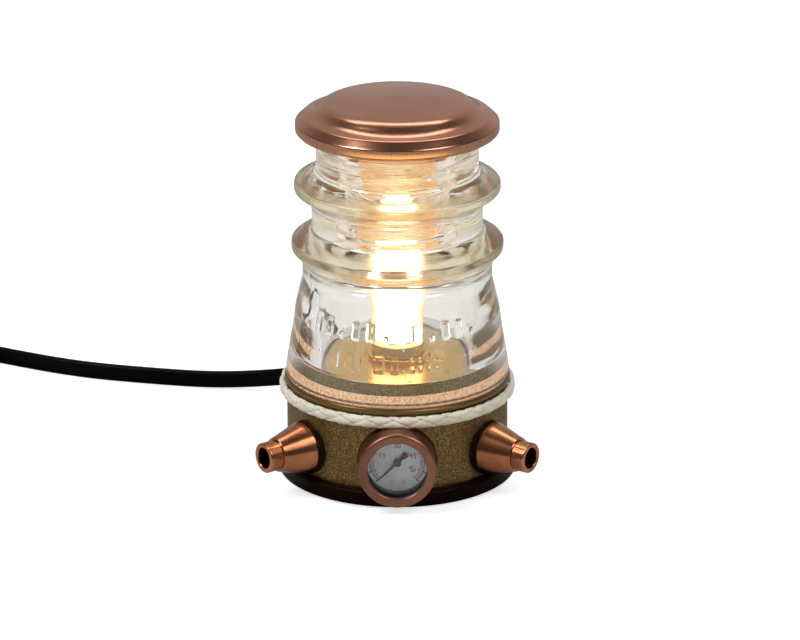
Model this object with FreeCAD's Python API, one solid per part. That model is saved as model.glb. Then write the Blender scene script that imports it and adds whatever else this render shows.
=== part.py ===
"""Table lamp made from a two-groove glass line insulator on a round gauge-and-nozzle base.

Millimetres, +Z up. The origin is the centre of the pad under the foot, on the lamp's axis.
The pressure gauge faces -Y, which is the front. Every piece is one STEP file in parts/.
"""
import FreeCAD, Part
import math
import os

V = FreeCAD.Vector
X_AXIS, Y_AXIS, Z_AXIS = V(1, 0, 0), V(0, 1, 0), V(0, 0, 1)
ORIGIN = V(0, 0, 0)

# ---------------------------------------------------------------- driving dimensions
EDGE_R = 0.5
CUT_OVER = 1.0
ARC_SHARE = 0.45
CORNER_SHARE = 0.49

# Foot and base shell
PAD_R = 46.5
PAD_T = 0.8
FOOT_R = 49.3
FOOT_T = 6.4
FOOT_EDGE_R = 1.6
SPIGOT_H = 2.5
SPIGOT_RING_W = 6.0
SHELL_R = 45.8
SHELL_WALL = 3.2
SHELL_H = 32.6
SPIGOT_GAP = 0.15

# Top plate that closes the shell and carries the glass
PLATE_R = 46.7
PLATE_T = 2.6
PLATE_EDGE_R = 0.7
PLATE_SPIGOT_H = 2.0
PLATE_SPIGOT_W = 3.0
SEAT_RIM_H = 1.5
SEAT_RIM_W = 1.6
SEAT_RIM_GAP = 1.5

# Braided leather band under the plate
BRAID_H = 5.4
BRAID_T = 3.1
BRAID_EDGE_R = 1.5
BRAID_GAP = 0.05

# Glass insulator, outside
SKIRT_R = 46.2
SKIRT_FOOT_EDGE_R = 1.4
SKIRT_FOOT_H = 3.6
SKIRT_FOOT_DRAFT = 0.1
SKIRT_FOOT_BLEND_R = 4.0
SKIRT_KNEE_R = 43.4
SKIRT_KNEE_H = 20.0
SKIRT_KNEE_BLEND_R = 30.0
SHOULDER_R = 42.0
SHOULDER_H = 29.6
SHOULDER_BLEND_R = 20.0
WAIST_R = 39.1
WAIST_LOW_H = 41.6
WAIST_TOP_H = 49.8
WAIST_BLEND_R = 8.0
LOWER_FLANGE_R = 43.6
LOWER_FLANGE_H = 54.6
UPPER_FLANGE_R = 42.3
UPPER_FLANGE_H = 79.6
FLANGE_T = 3.4
FLANGE_EDGE_R = 1.65
FLANGE_SLOPE_H = 4.9
LOWER_GROOVE_R = 35.1
GROOVE_FILLET_R = 3.0
CROWN_R = 33.3
CROWN_H = 111.0
CROWN_EDGE_R = 4.0

# Glass insulator, inside
MOUTH_WALL = 7.6
MOUTH_EDGE_R = 0.8
MOUTH_BEVEL_H = 6.9
MOUTH_BEVEL_EDGE_R = 0.5
CAVITY_LOW_R = 33.0
CAVITY_WIDE_R = 33.6
CAVITY_WIDE_H = 25.0
CAVITY_WIDE_BLEND_R = 40.0
CAVITY_TOP_R = 31.4
CAVITY_H = 47.0
CAVITY_FILLET_R = 9.0
PIN_HOLE_MOUTH_H = 52.0
PIN_HOLE_MOUTH_EDGE_R = 2.0
PIN_HOLE_R = 17.0
PIN_HOLE_TOP_R = 15.5
PIN_HOLE_TOP_H = 99.0
PIN_HOLE_DOME_R = 5.0

# Spun cap over the crown
CAP_SHEET_T = 1.2
CAP_OVERLAP = 7.1
CAP_BAND_H = 4.4
CAP_BAND_R = 41.7
CAP_LIP_IN = 1.0
CAP_RIM_TOP_H = 2.9
CAP_RIM_TOP_R = 38.6
CAP_STEP_H = 1.2
CAP_STEP_R = 34.9
CAP_SHOULDER_R = 32.1
CAP_SHOULDER_H = 3.0
CAP_DOME_H = 3.4
CAP_DOME_BULGE = 0.75
CAP_DOME_BLEND_R = 60.0
CAP_EDGE_R = 2.2
CAP_STEP_EDGE_R = 1.0
CAP_BAND_TOP_EDGE_R = 1.2
CAP_BAND_LOW_EDGE_R = 0.8
CAP_PAD_R = 26.0
CAP_PAD_GAP = 0.05

# Bulb
BULB_R = 11.0
BULB_LENGTH = 44.5
BULB_GLASS_T = 0.7
BULB_NECK_R = 8.6
BULB_NECK_H = 3.0
BULB_NECK_BLEND_R = 1.5
BULB_TOP_R = 8.8
BULB_BASE_R = 6.0
BULB_BASE_L = 17.0
BULB_TIP_L = 1.6
BULB_TIP_R = 2.4
BULB_TIP_FLARE = 1.2
FILAMENT_R = 2.6
FILAMENT_L = 26.0

# Lamp socket, its cup and ring nut
SOCKET_R = 10.8
SOCKET_L = 32.0
SOCKET_BORE_GAP = 0.1
SOCKET_SHELL_T = 0.5
BULB_CLEAR = 0.3
SOCKET_SHOULDER_R = 14.5
SOCKET_SHOULDER_T = 3.0
SOCKET_SIDE_GAP = 0.1
CUP_R = 31.8
CUP_H = 4.9
CUP_WALL = 1.0
CUP_EDGE_R = 1.5
RING_NUT_W = 2.8
RING_NUT_T = 2.0
SOCKET_PROUD = 4.5
CONTACT_R = 3.0
TERMINAL_HEAD_R = 2.2
TERMINAL_HEAD_T = 1.2
TERMINAL_SHANK_R = 0.9
TERMINAL_UP = 7.0
HICKEY_R = 6.6
HICKEY_H = 5.0

# Threaded nipple that ties socket and foot together
NIPPLE_R = 4.75
NIPPLE_BORE_R = 3.0
NUT_FLATS = 14.0
NUT_T = 2.6
WASHER_R = 8.6
WASHER_T = 0.7
NUT_RECESS_GAP = 0.4
THREAD_GAP = 0.02

# Copper nozzles
NOZZLE_SPREAD_DEG = 54.0
NOZZLES = (("left", -NOZZLE_SPREAD_DEG), ("right", NOZZLE_SPREAD_DEG))
NOZZLE_Z = 18.7
NOZZLE_PROUD = 21.7
NOZZLE_TIP_L = 5.9
NOZZLE_CONE_L = 13.9
NOZZLE_BIG_R = 11.2
NOZZLE_CONE_END_R = 7.0
NOZZLE_TIP_R = 6.3
NOZZLE_BORE_R = 4.25
NOZZLE_SPIGOT_R = 10.3
NOZZLE_SPIGOT_L = 9.5
NOZZLE_WALL = 1.3
NOZZLE_INSIDE_R = 1.0
GROMMET_WALL = 0.9
GROMMET_L = 5.2

# Pressure gauge: depths are measured inwards from the front of its copper housing
GAUGE_Z = 19.3
GAUGE_PROUD = 10.6
HOUSING_R = 16.0
HOUSING_WALL = 1.6
HOUSING_L = 26.0
HOUSING_EDGE_R = 1.3
HOUSING_LIP_T = 2.0
HOUSING_OPENING_R = 12.1
HOUSING_GAP = 0.3
CASE_GAP = 0.2
CASE_WALL = 1.3
CASE_L = 22.0
CASE_BACK_T = 1.2
BEZEL_FLANGE_T = 1.1
BEZEL_SKIRT_W = 0.8
BEZEL_OPENING_GAP = 0.1
WINDOW_T = 1.2
WINDOW_GAP = 0.05
DIAL_DEPTH = 11.8
DIAL_T = 0.4
DIAL_GAP = 0.15
DIAL_HOLE_GAP = 0.5
DIAL_SCREW_X = 2.4
DIAL_SCREW_Z = -8.4
DIAL_SCREW_R = 0.55
DIAL_SCREW_HEAD_R = 1.0
DIAL_SCREW_HEAD_T = 0.5
DIAL_BOSS_WALL = 0.65
POINTER_L = 10.9
POINTER_HUB_R = 1.65
POINTER_ROOT_DEG = 24.0
POINTER_TIP_HALF_W = 0.12
POINTER_TAIL_L = 5.1
POINTER_TAIL_DEG = 34.0
POINTER_TAIL_BULGE = 0.3
POINTER_TAIL_ROOT_DEG = 20.0
POINTER_T = 0.3
POINTER_HUB_T = 0.9
POINTER_HUB_FACE_T = 0.3
POINTER_LIFT = 0.9
POINTER_ZERO_DEG = -135.0
ARBOR_R = 0.45
ARBOR_GAP = 0.05
PLATE_GAUGE_T = 0.8
MOVEMENT_BEHIND_DIAL = 2.0
MOVEMENT_ROOM = 4.2
MOVEMENT_TOP_R = 4.4
MOVEMENT_TOP_Z = 2.5
MOVEMENT_LOW_R = 3.8
MOVEMENT_LOW_Z = -8.4
PILLAR_R = 0.8
PILLAR_TOP_X = 3.0
PILLAR_TOP_Z = 3.4
PILLAR_LOW_X = 2.1
PILLAR_LOW_Z = -11.0
GEAR_MODULE = 0.25
ADDENDUM_MODULES = 0.8
DEDENDUM_MODULES = 1.1
TOOTH_THINNING = 0.76
PRESSURE_DEG = 20.0
PINION_TEETH = 10
SECTOR_RATIO = 5
SECTOR_TOOTH_COUNT = 10
POINTER_SWEEP_DEG = 270.0
PINION_T = 2.0
SECTOR_T = 0.9
SECTOR_HUB_R = 1.05
SECTOR_HUB_GAP = 0.2
SECTOR_WINDOW_LOW_R = 1.8
SECTOR_WINDOW_HIGH_R = 4.5
SECTOR_WINDOW_DEG = 22.0
SECTOR_TAIL_L = 1.6
TAIL_EYE_R = 0.6
TAIL_PIN_R = 0.28
LINK_T = 0.4
LINK_GAP = 0.15
LINK_W = 0.9
LINK_FORK_WALL = 0.35
BOURDON_R = 10.5
BOURDON_RADIAL = 1.2
BOURDON_AXIAL = 2.8
BOURDON_ROOT_DEG = -150.0
BOURDON_TIP_DEG = 140.0
BOURDON_PLUG_R = 0.9
BOURDON_PLUG_DEG = 3.0
BOURDON_BACK_GAP = 0.4
BOURDON_POST_R = 0.9
STEM_BLOCK_R = 3.6
STEM_BLOCK_Z = -2.0
STEM_ARM_T = 1.6
STEM_HEX_FLATS = 11.0
STEM_HEX_L = 4.0
STEM_R = 4.8
STEM_L = 6.0

# Mains cord: flat twin flex standing on edge
CORD_W = 7.5
CORD_T = 3.8
CORD_EXIT_DEG = 26.0
CORD_TURN_R = 80.0
CORD_EXIT_Z = 14.0
BOOT_L = 22.0
BOOT_R = 6.4
BOOT_TIP_R = 4.7
BOOT_NECK_R = 5.2
BOOT_NECK_GAP = 0.1
BOOT_FLANGE_T = 1.6
BOOT_NECK_IN = 1.0
BOOT_SLOT_GAP = 0.05
CORD_START_IN = 2.6
LEAD_R = 1.0
LEAD_STRAIGHT = 9.0
LEAD_BOW_X = 1.5
LEAD_BOW_Y = 18.0
LEAD_BOW_DROP = 3.0
LEAD_END_RUN = 9.0
LEAD_END_Y = 2.0
COIL_CENTRE = V(-231.0, 103.5, 0)
COIL_OUTER_TURN_R = 45.0
COIL_PITCH = 4.0
COIL_TURNS = 3
COIL_LAYERS = 2
PLUG_L = 27.0
PLUG_W = 24.0
PLUG_T = 13.0
PLUG_NECK_L = 14.0
PLUG_NECK_W = 12.0
PLUG_NECK_T = 11.0
PLUG_EDGE_R = 2.5
BLADE_L = 16.0
BLADE_H = 6.3
BLADE_T = 1.5
BLADE_SPACING = 12.7

# ---------------------------------------------------------------- levels that follow from them
FOOT_TOP = PAD_T + FOOT_T
PLATE_LOW = FOOT_TOP + SHELL_H
PLATE_TOP = PLATE_LOW + PLATE_T
SHELL_IN_R = SHELL_R - SHELL_WALL
NOZZLE_REACH = SHELL_R + NOZZLE_PROUD
GAUGE_REACH = SHELL_R + GAUGE_PROUD
CUP_TOP = PLATE_TOP + CUP_H
SOCKET_TOP = CUP_TOP + RING_NUT_T + SOCKET_PROUD
SOCKET_LOW = SOCKET_TOP - SOCKET_L
SOCKET_BORE_R = BULB_BASE_R + SOCKET_BORE_GAP
CROWN_TOP = PLATE_TOP + CROWN_H
CAP_LIP = CROWN_TOP - CAP_OVERLAP
SOCKET_FLOOR = SOCKET_TOP + BULB_CLEAR - BULB_BASE_L - BULB_TIP_L - SOCKET_SHELL_T
HICKEY_LOW = SOCKET_LOW - HICKEY_H
HOUSING_IN_R = HOUSING_R - HOUSING_WALL
CASE_R = HOUSING_IN_R - CASE_GAP
CASE_IN_R = CASE_R - CASE_WALL
WINDOW_BACK = HOUSING_LIP_T + BEZEL_FLANGE_T + WINDOW_T
CASE_END = WINDOW_BACK + CASE_L
MOVEMENT_FRONT = DIAL_DEPTH + DIAL_T + MOVEMENT_BEHIND_DIAL
MOVEMENT_MID = MOVEMENT_FRONT + PLATE_GAUGE_T
MOVEMENT_BACK = MOVEMENT_MID + MOVEMENT_ROOM
MOVEMENT_END = MOVEMENT_BACK + PLATE_GAUGE_T
PINION_R = GEAR_MODULE * PINION_TEETH / 2
SECTOR_R = PINION_R * SECTOR_RATIO
SECTOR_PIVOT_Z = -(PINION_R + SECTOR_R)
SECTOR_SWEEP_DEG = POINTER_SWEEP_DEG / SECTOR_RATIO
GAUGE_ORIGIN = V(0, -GAUGE_REACH, GAUGE_Z)
CORD_EXIT_DIR = V(-math.sin(math.radians(CORD_EXIT_DEG)), math.cos(math.radians(CORD_EXIT_DEG)), 0)


# ---------------------------------------------------------------- helpers
def cylinder(radius, low, high, x=0.0, y=0.0):
    """Upright cylinder between two levels."""
    return Part.makeCylinder(radius, high - low, V(x, y, low), Z_AXIS)


def tube(outer, inner, low, high):
    """Upright tube between two levels."""
    return cylinder(outer, low, high).cut(cylinder(inner, low, high))


def deep(radius, front, back, x=0.0, z=0.0):
    """Cylinder along the gauge's depth, in gauge coordinates."""
    return Part.makeCylinder(radius, back - front, V(x, front, z), Y_AXIS)


def deep_tube(outer, inner, front, back):
    """Tube along the gauge's depth, in gauge coordinates."""
    return deep(outer, front, back).cut(deep(inner, front, back))


def clock(radius, degrees):
    """Point of a dial, in the XZ plane, by its angle clockwise from the top."""
    a = math.radians(degrees)
    return V(radius * math.sin(a), 0, radius * math.cos(a))


def outline(points):
    """Closed wire through (r, z, corner radius) points, with tangent arcs at the rounded corners."""
    corners = [(V(r, 0, z), radius) for r, z, radius in points]
    stops = []
    for i, (p, radius) in enumerate(corners):
        before, after = corners[i - 1][0] - p, corners[(i + 1) % len(corners)][0] - p
        if radius <= 0:
            stops.append((p, None, p))
            continue
        half = before.getAngle(after) / 2
        reach = radius / math.tan(half)
        room = CORNER_SHARE * min(before.Length, after.Length)
        if reach > room:
            radius, reach = radius * room / reach, room
        before.normalize()
        after.normalize()
        middle = (before + after).normalize()
        summit = p + middle * (radius / math.sin(half) - radius)
        stops.append((p + before * reach, summit, p + after * reach))
    edges = []
    for i, (start, summit, end) in enumerate(stops):
        if summit is not None:
            edges.append(Part.Arc(start, summit, end).toShape())
        following = stops[(i + 1) % len(stops)][0]
        if end.distanceToPoint(following) > 1e-6:
            edges.append(Part.LineSegment(end, following).toShape())
    return Part.Wire(edges)


def turned(points):
    """Solid of revolution about the lamp's axis of an outline of (r, z, corner radius) points."""
    return Part.Face(outline(points)).revolve(ORIGIN, Z_AXIS, 360)


def hexagon(flats, low, high):
    """Upright hexagonal prism by its distance across flats."""
    corners = []
    for i in range(7):
        a = math.radians(60 * i)
        corners.append(V(math.cos(a), math.sin(a), 0) * (flats / math.sqrt(3)) + V(0, 0, low))
    return Part.Face(Part.makePolygon(corners)).extrude(V(0, 0, high - low))


def laid_along(shape, direction_deg, height):
    """Turn an upright solid so that its axis points out of the base at an angle from the front."""
    shape = shape.copy()
    shape.rotate(ORIGIN, X_AXIS, 90)
    shape.rotate(ORIGIN, Z_AXIS, direction_deg)
    shape.translate(V(0, 0, height))
    return shape


def at_gauge(shape):
    """Move a solid from gauge coordinates to the lamp."""
    shape = shape.copy()
    shape.translate(GAUGE_ORIGIN)
    return shape


def save(name, shape):
    """Write one node."""
    if not shape.isValid() or not shape.Solids:
        raise ValueError(name + " is not a valid solid")
    shape.exportStep("parts/" + name + ".step")


# ---------------------------------------------------------------- foot and base
def gauge_clearance():
    """Round space in the base that the gauge housing passes through."""
    return at_gauge(deep(HOUSING_R + HOUSING_GAP, -CUT_OVER, HOUSING_L + CUT_OVER))


def nozzle_clearance(angle):
    """Round hole in the base for a nozzle's spigot in its rubber ring."""
    hole = cylinder(NOZZLE_SPIGOT_R + GROMMET_WALL, SHELL_IN_R - NOZZLE_SPIGOT_R, SHELL_R)
    return laid_along(hole, angle, NOZZLE_Z)


def cord_clearance():
    """Round hole in the base for the neck of the strain relief."""
    start = CORD_EXIT_DIR * (SHELL_IN_R - BOOT_NECK_R) + V(0, 0, CORD_EXIT_Z)
    return Part.makeCylinder(BOOT_NECK_R + BOOT_NECK_GAP, SHELL_WALL + BOOT_NECK_R, start, CORD_EXIT_DIR)


def foot_disc():
    spigot_r = SHELL_IN_R - SPIGOT_GAP
    disc = turned([
        (0, PAD_T, 0), (FOOT_R, PAD_T, EDGE_R), (FOOT_R, FOOT_TOP, FOOT_EDGE_R), (SHELL_R, FOOT_TOP, 0),
        (spigot_r, FOOT_TOP, 0), (spigot_r, FOOT_TOP + SPIGOT_H, EDGE_R),
        (spigot_r - SPIGOT_RING_W, FOOT_TOP + SPIGOT_H, 0), (spigot_r - SPIGOT_RING_W, FOOT_TOP, 0),
        (0, FOOT_TOP, 0),
    ])
    recess_r = NUT_FLATS / math.sqrt(3) + NUT_RECESS_GAP
    disc = disc.cut(cylinder(recess_r, PAD_T, PAD_T + NUT_T + WASHER_T))
    disc = disc.cut(cylinder(NIPPLE_R + THREAD_GAP, PAD_T, FOOT_TOP))
    for _, angle in NOZZLES:
        disc = disc.cut(nozzle_clearance(angle))
    return disc.cut(gauge_clearance()).cut(cord_clearance())


def foot_pad():
    """Thin pad under the whole foot. It also closes the nut's recess."""
    return cylinder(PAD_R, 0, PAD_T)


def base_shell():
    shell = tube(SHELL_R, SHELL_IN_R, FOOT_TOP, PLATE_LOW)
    for _, angle in NOZZLES:
        shell = shell.cut(nozzle_clearance(angle))
    return shell.cut(gauge_clearance()).cut(cord_clearance())


def top_plate():
    spigot_r = SHELL_IN_R - SPIGOT_GAP
    rim_r = SKIRT_R - MOUTH_WALL - SEAT_RIM_GAP
    hole_r = SOCKET_R + SOCKET_SIDE_GAP
    return turned([
        (hole_r, PLATE_LOW, 0), (spigot_r - PLATE_SPIGOT_W, PLATE_LOW, 0),
        (spigot_r - PLATE_SPIGOT_W, PLATE_LOW - PLATE_SPIGOT_H, 0),
        (spigot_r, PLATE_LOW - PLATE_SPIGOT_H, EDGE_R), (spigot_r, PLATE_LOW, 0),
        (PLATE_R, PLATE_LOW, PLATE_EDGE_R), (PLATE_R, PLATE_TOP, PLATE_EDGE_R),
        (rim_r, PLATE_TOP, 0), (rim_r, PLATE_TOP + SEAT_RIM_H, EDGE_R),
        (rim_r - SEAT_RIM_W, PLATE_TOP + SEAT_RIM_H, EDGE_R), (rim_r - SEAT_RIM_W, PLATE_TOP, 0),
        (hole_r, PLATE_TOP, 0),
    ])


def braid_band():
    inner, outer = SHELL_R + BRAID_GAP, SHELL_R + BRAID_GAP + BRAID_T
    low = PLATE_LOW - BRAID_H
    band = turned([
        (inner, low, BRAID_EDGE_R), (outer, low, BRAID_EDGE_R),
        (outer, PLATE_LOW, BRAID_EDGE_R), (inner, PLATE_LOW, BRAID_EDGE_R),
    ])
    return band.cut(at_gauge(deep(HOUSING_R + BRAID_GAP, -CUT_OVER, HOUSING_L)))


# ---------------------------------------------------------------- glass and cap
def glass_insulator():
    z = PLATE_TOP
    lower_top = LOWER_FLANGE_H + FLANGE_T
    upper_top = UPPER_FLANGE_H + FLANGE_T
    mouth_r = SKIRT_R - MOUTH_WALL
    return turned([
        (mouth_r, z, MOUTH_EDGE_R), (SKIRT_R, z, SKIRT_FOOT_EDGE_R),
        (SKIRT_R - SKIRT_FOOT_DRAFT, z + SKIRT_FOOT_H, SKIRT_FOOT_BLEND_R),
        (SKIRT_KNEE_R, z + SKIRT_KNEE_H, SKIRT_KNEE_BLEND_R),
        (SHOULDER_R, z + SHOULDER_H, SHOULDER_BLEND_R), (WAIST_R, z + WAIST_LOW_H, WAIST_BLEND_R),
        (WAIST_R, z + WAIST_TOP_H, GROOVE_FILLET_R),
        (LOWER_FLANGE_R, z + LOWER_FLANGE_H, FLANGE_EDGE_R),
        (LOWER_FLANGE_R, z + lower_top, FLANGE_EDGE_R),
        (LOWER_GROOVE_R, z + lower_top + FLANGE_SLOPE_H, GROOVE_FILLET_R),
        (LOWER_GROOVE_R, z + UPPER_FLANGE_H - FLANGE_SLOPE_H, GROOVE_FILLET_R),
        (UPPER_FLANGE_R, z + UPPER_FLANGE_H, FLANGE_EDGE_R),
        (UPPER_FLANGE_R, z + upper_top, FLANGE_EDGE_R),
        (CROWN_R, z + upper_top + FLANGE_SLOPE_H, GROOVE_FILLET_R),
        (CROWN_R, CROWN_TOP, CROWN_EDGE_R), (0, CROWN_TOP, 0),
        (0, z + PIN_HOLE_TOP_H, 0), (PIN_HOLE_TOP_R, z + PIN_HOLE_TOP_H, PIN_HOLE_DOME_R),
        (PIN_HOLE_R, z + PIN_HOLE_MOUTH_H, PIN_HOLE_MOUTH_EDGE_R),
        (CAVITY_TOP_R, z + CAVITY_H, CAVITY_FILLET_R),
        (CAVITY_WIDE_R, z + CAVITY_WIDE_H, CAVITY_WIDE_BLEND_R),
        (CAVITY_LOW_R, z + MOUTH_BEVEL_H, MOUTH_BEVEL_EDGE_R),
    ])


def cap_outline(offset):
    """Upper outline of the cap from its lip to its centre, moved inwards by the sheet's thickness."""
    band_top = CAP_LIP + CAP_BAND_H
    rim_top = band_top + CAP_RIM_TOP_H
    shoulder = rim_top + CAP_STEP_H + CAP_SHOULDER_H
    slanted = offset / 2
    return [
        (CAP_BAND_R - CAP_LIP_IN - offset, CAP_LIP, 0),
        (CAP_BAND_R - offset, CAP_LIP + CAP_LIP_IN, CAP_BAND_LOW_EDGE_R),
        (CAP_BAND_R - offset, band_top - slanted, CAP_BAND_TOP_EDGE_R),
        (CAP_RIM_TOP_R - slanted, rim_top - offset, CAP_EDGE_R),
        (CAP_STEP_R - slanted, rim_top + CAP_STEP_H - offset, CAP_STEP_EDGE_R),
        (CAP_SHOULDER_R - offset, shoulder - offset, CAP_EDGE_R),
        (CAP_SHOULDER_R / 2, shoulder + CAP_DOME_BULGE * CAP_DOME_H - offset, CAP_DOME_BLEND_R),
        (0, shoulder + CAP_DOME_H - offset, 0),
    ]


def cap():
    return turned(cap_outline(0) + list(reversed(cap_outline(CAP_SHEET_T))))


def cap_pad():
    """Cushion between crown and cap: it fills the room under the dome."""
    under = cap_outline(CAP_SHEET_T + CAP_PAD_GAP)
    blank = cylinder(CAP_PAD_R, CROWN_TOP, under[-1][1])
    return blank.common(turned(under + [(0, CAP_LIP, 0)]))


# ---------------------------------------------------------------- bulb and socket
def bulb_levels():
    """Levels of the bulb's contact tip, screw base, glass and top."""
    tip = SOCKET_FLOOR + SOCKET_SHELL_T
    base = tip + BULB_TIP_L
    glass = base + BULB_BASE_L
    return tip, base, glass, glass + BULB_LENGTH


def bulb_glass():
    _, _, low, top = bulb_levels()
    t = BULB_GLASS_T
    return turned([
        (BULB_BASE_R - t, low, 0), (BULB_BASE_R, low, 0),
        (BULB_NECK_R, low + BULB_NECK_H / 2, BULB_NECK_BLEND_R),
        (BULB_R, low + BULB_NECK_H, BULB_NECK_BLEND_R), (BULB_R, top, BULB_TOP_R), (0, top, 0),
        (0, top - t, 0), (BULB_R - t, top - t, BULB_TOP_R - t),
        (BULB_R - t, low + BULB_NECK_H, BULB_NECK_BLEND_R),
        (BULB_NECK_R - t, low + BULB_NECK_H / 2 + t / 2, BULB_NECK_BLEND_R),
    ])


def bulb_base():
    tip, base, glass, _ = bulb_levels()
    return turned([
        (0, tip, 0), (BULB_TIP_R, tip, EDGE_R), (BULB_TIP_R + BULB_TIP_FLARE, base, 0),
        (BULB_BASE_R, base + BULB_TIP_FLARE, EDGE_R), (BULB_BASE_R, glass, 0), (0, glass, 0),
    ])


def bulb_filament():
    """Lit column on its stem, standing on the base."""
    _, _, glass, _ = bulb_levels()
    stem_h = (BULB_LENGTH - FILAMENT_L) / 2
    stem = cylinder(FILAMENT_R / 2, glass, glass + stem_h)
    return stem.fuse(cylinder(FILAMENT_R, glass + stem_h, glass + stem_h + FILAMENT_L))


def socket_body():
    shoulder_low = PLATE_LOW - SOCKET_SHOULDER_T
    bore_r = SOCKET_BORE_R + SOCKET_SHELL_T
    return turned([
        (0, SOCKET_LOW, 0), (SOCKET_R, SOCKET_LOW, EDGE_R), (SOCKET_R, shoulder_low, 0),
        (SOCKET_SHOULDER_R, shoulder_low, EDGE_R), (SOCKET_SHOULDER_R, PLATE_LOW, 0),
        (SOCKET_R, PLATE_LOW, 0), (SOCKET_R, SOCKET_TOP, EDGE_R), (bore_r, SOCKET_TOP, 0),
        (bore_r, SOCKET_FLOOR, 0), (0, SOCKET_FLOOR, 0),
    ])


def socket_shell():
    """Brass screw shell with the centre contact's floor."""
    low = SOCKET_FLOOR + SOCKET_SHELL_T + BULB_TIP_L
    return tube(SOCKET_BORE_R + SOCKET_SHELL_T, SOCKET_BORE_R, low, SOCKET_TOP - SOCKET_PROUD)


def socket_contact():
    """Centre contact on the socket's floor, under the bulb's tip."""
    return cylinder(CONTACT_R, SOCKET_FLOOR, SOCKET_FLOOR + SOCKET_SHELL_T)


def socket_cup():
    hole_r = SOCKET_R + SOCKET_SIDE_GAP
    top_in = CUP_TOP - CUP_WALL
    return turned([
        (CUP_R - CUP_WALL, PLATE_TOP, 0), (CUP_R, PLATE_TOP, 0), (CUP_R, CUP_TOP, CUP_EDGE_R),
        (hole_r, CUP_TOP, 0), (hole_r, top_in, 0), (CUP_R - CUP_WALL, top_in, CUP_EDGE_R - CUP_WALL),
    ])


def socket_ring_nut():
    inner = SOCKET_R + THREAD_GAP
    return turned([
        (inner, CUP_TOP, 0), (inner + RING_NUT_W, CUP_TOP, 0),
        (inner + RING_NUT_W, CUP_TOP + RING_NUT_T, EDGE_R), (inner, CUP_TOP + RING_NUT_T, 0),
    ])


def terminal_x():
    """Distance from the axis of the wire under each terminal screw."""
    return SOCKET_R + LEAD_R


def socket_terminals():
    """Two screws in the socket's sides, each over the end of a lead."""
    screws = []
    level = SOCKET_LOW + TERMINAL_UP
    for side in (-1, 1):
        head_x = SOCKET_R + 2 * LEAD_R
        head = Part.makeCylinder(TERMINAL_HEAD_R, TERMINAL_HEAD_T, V(side * head_x, 0, level), X_AXIS * side)
        shank = Part.makeCylinder(TERMINAL_SHANK_R, 2 * LEAD_R, V(side * SOCKET_R, 0, level), X_AXIS * side)
        screws.append(head.fuse(shank))
    return Part.makeCompound(screws)


def socket_hickey():
    """Brass hub under the socket, screwed on the nipple."""
    return tube(HICKEY_R, NIPPLE_R + THREAD_GAP, HICKEY_LOW, SOCKET_LOW)


def nipple():
    return tube(NIPPLE_R, NIPPLE_BORE_R, PAD_T, SOCKET_LOW)


def nipple_nuts():
    """One nut in the foot's recess and one on top of the foot."""
    bore = NIPPLE_R + THREAD_GAP
    lower = hexagon(NUT_FLATS, PAD_T, PAD_T + NUT_T).cut(cylinder(bore, PAD_T, PAD_T + NUT_T))
    low = FOOT_TOP + WASHER_T
    upper = hexagon(NUT_FLATS, low, low + NUT_T).cut(cylinder(bore, low, low + NUT_T))
    return Part.makeCompound([lower, upper])


def nipple_washers():
    bore = NIPPLE_R + THREAD_GAP
    low = PAD_T + NUT_T
    lower = tube(NUT_FLATS / math.sqrt(3), bore, low, low + WASHER_T)
    return Part.makeCompound([lower, tube(WASHER_R, bore, FOOT_TOP, FOOT_TOP + WASHER_T)])


# ---------------------------------------------------------------- nozzles
def nozzle(angle):
    """Copper reducer: spigot in the base, cone and short open tube."""
    cone_end = NOZZLE_REACH - NOZZLE_TIP_L
    cone_start = cone_end - NOZZLE_CONE_L
    spigot_end = cone_start - NOZZLE_SPIGOT_L
    inner_big = NOZZLE_SPIGOT_R - NOZZLE_WALL
    solid = turned([
        (inner_big, spigot_end, 0), (NOZZLE_SPIGOT_R, spigot_end, EDGE_R), (NOZZLE_SPIGOT_R, cone_start, 0),
        (NOZZLE_BIG_R, cone_start, EDGE_R), (NOZZLE_CONE_END_R, cone_end, EDGE_R),
        (NOZZLE_TIP_R, cone_end, 0), (NOZZLE_TIP_R, NOZZLE_REACH, EDGE_R),
        (NOZZLE_BORE_R, NOZZLE_REACH, EDGE_R), (NOZZLE_BORE_R, cone_end - NOZZLE_WALL, NOZZLE_INSIDE_R),
        (inner_big, cone_start, NOZZLE_INSIDE_R),
    ])
    return laid_along(solid, angle, NOZZLE_Z)


def nozzle_grommet(angle):
    """Rubber ring that holds a nozzle's spigot in the hole of the shell."""
    outer_end = NOZZLE_REACH - NOZZLE_TIP_L - NOZZLE_CONE_L
    ring = tube(NOZZLE_SPIGOT_R + GROMMET_WALL, NOZZLE_SPIGOT_R, outer_end - GROMMET_L, outer_end)
    return laid_along(ring, angle, NOZZLE_Z)


# ---------------------------------------------------------------- gauge
def housing():
    """Copper coupling round the gauge, with a rounded lip in front of the case."""
    upright = turned([
        (HOUSING_OPENING_R, 0, EDGE_R), (HOUSING_R, 0, HOUSING_EDGE_R), (HOUSING_R, HOUSING_L, EDGE_R),
        (HOUSING_IN_R, HOUSING_L, 0), (HOUSING_IN_R, HOUSING_LIP_T, 0),
        (HOUSING_OPENING_R, HOUSING_LIP_T, 0),
    ])
    upright.rotate(ORIGIN, X_AXIS, -90)
    return upright


def gauge_bezel():
    """Snap ring over the window's edge."""
    flange_in = HOUSING_OPENING_R + BEZEL_OPENING_GAP
    front, flange_back = HOUSING_LIP_T, HOUSING_LIP_T + BEZEL_FLANGE_T
    ring = deep_tube(CASE_R, flange_in, front, flange_back)
    return ring.fuse(deep_tube(CASE_R, CASE_R - BEZEL_SKIRT_W, flange_back, WINDOW_BACK))


def gauge_window():
    front = HOUSING_LIP_T + BEZEL_FLANGE_T
    return deep(CASE_R - BEZEL_SKIRT_W - WINDOW_GAP, front, WINDOW_BACK)


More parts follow.
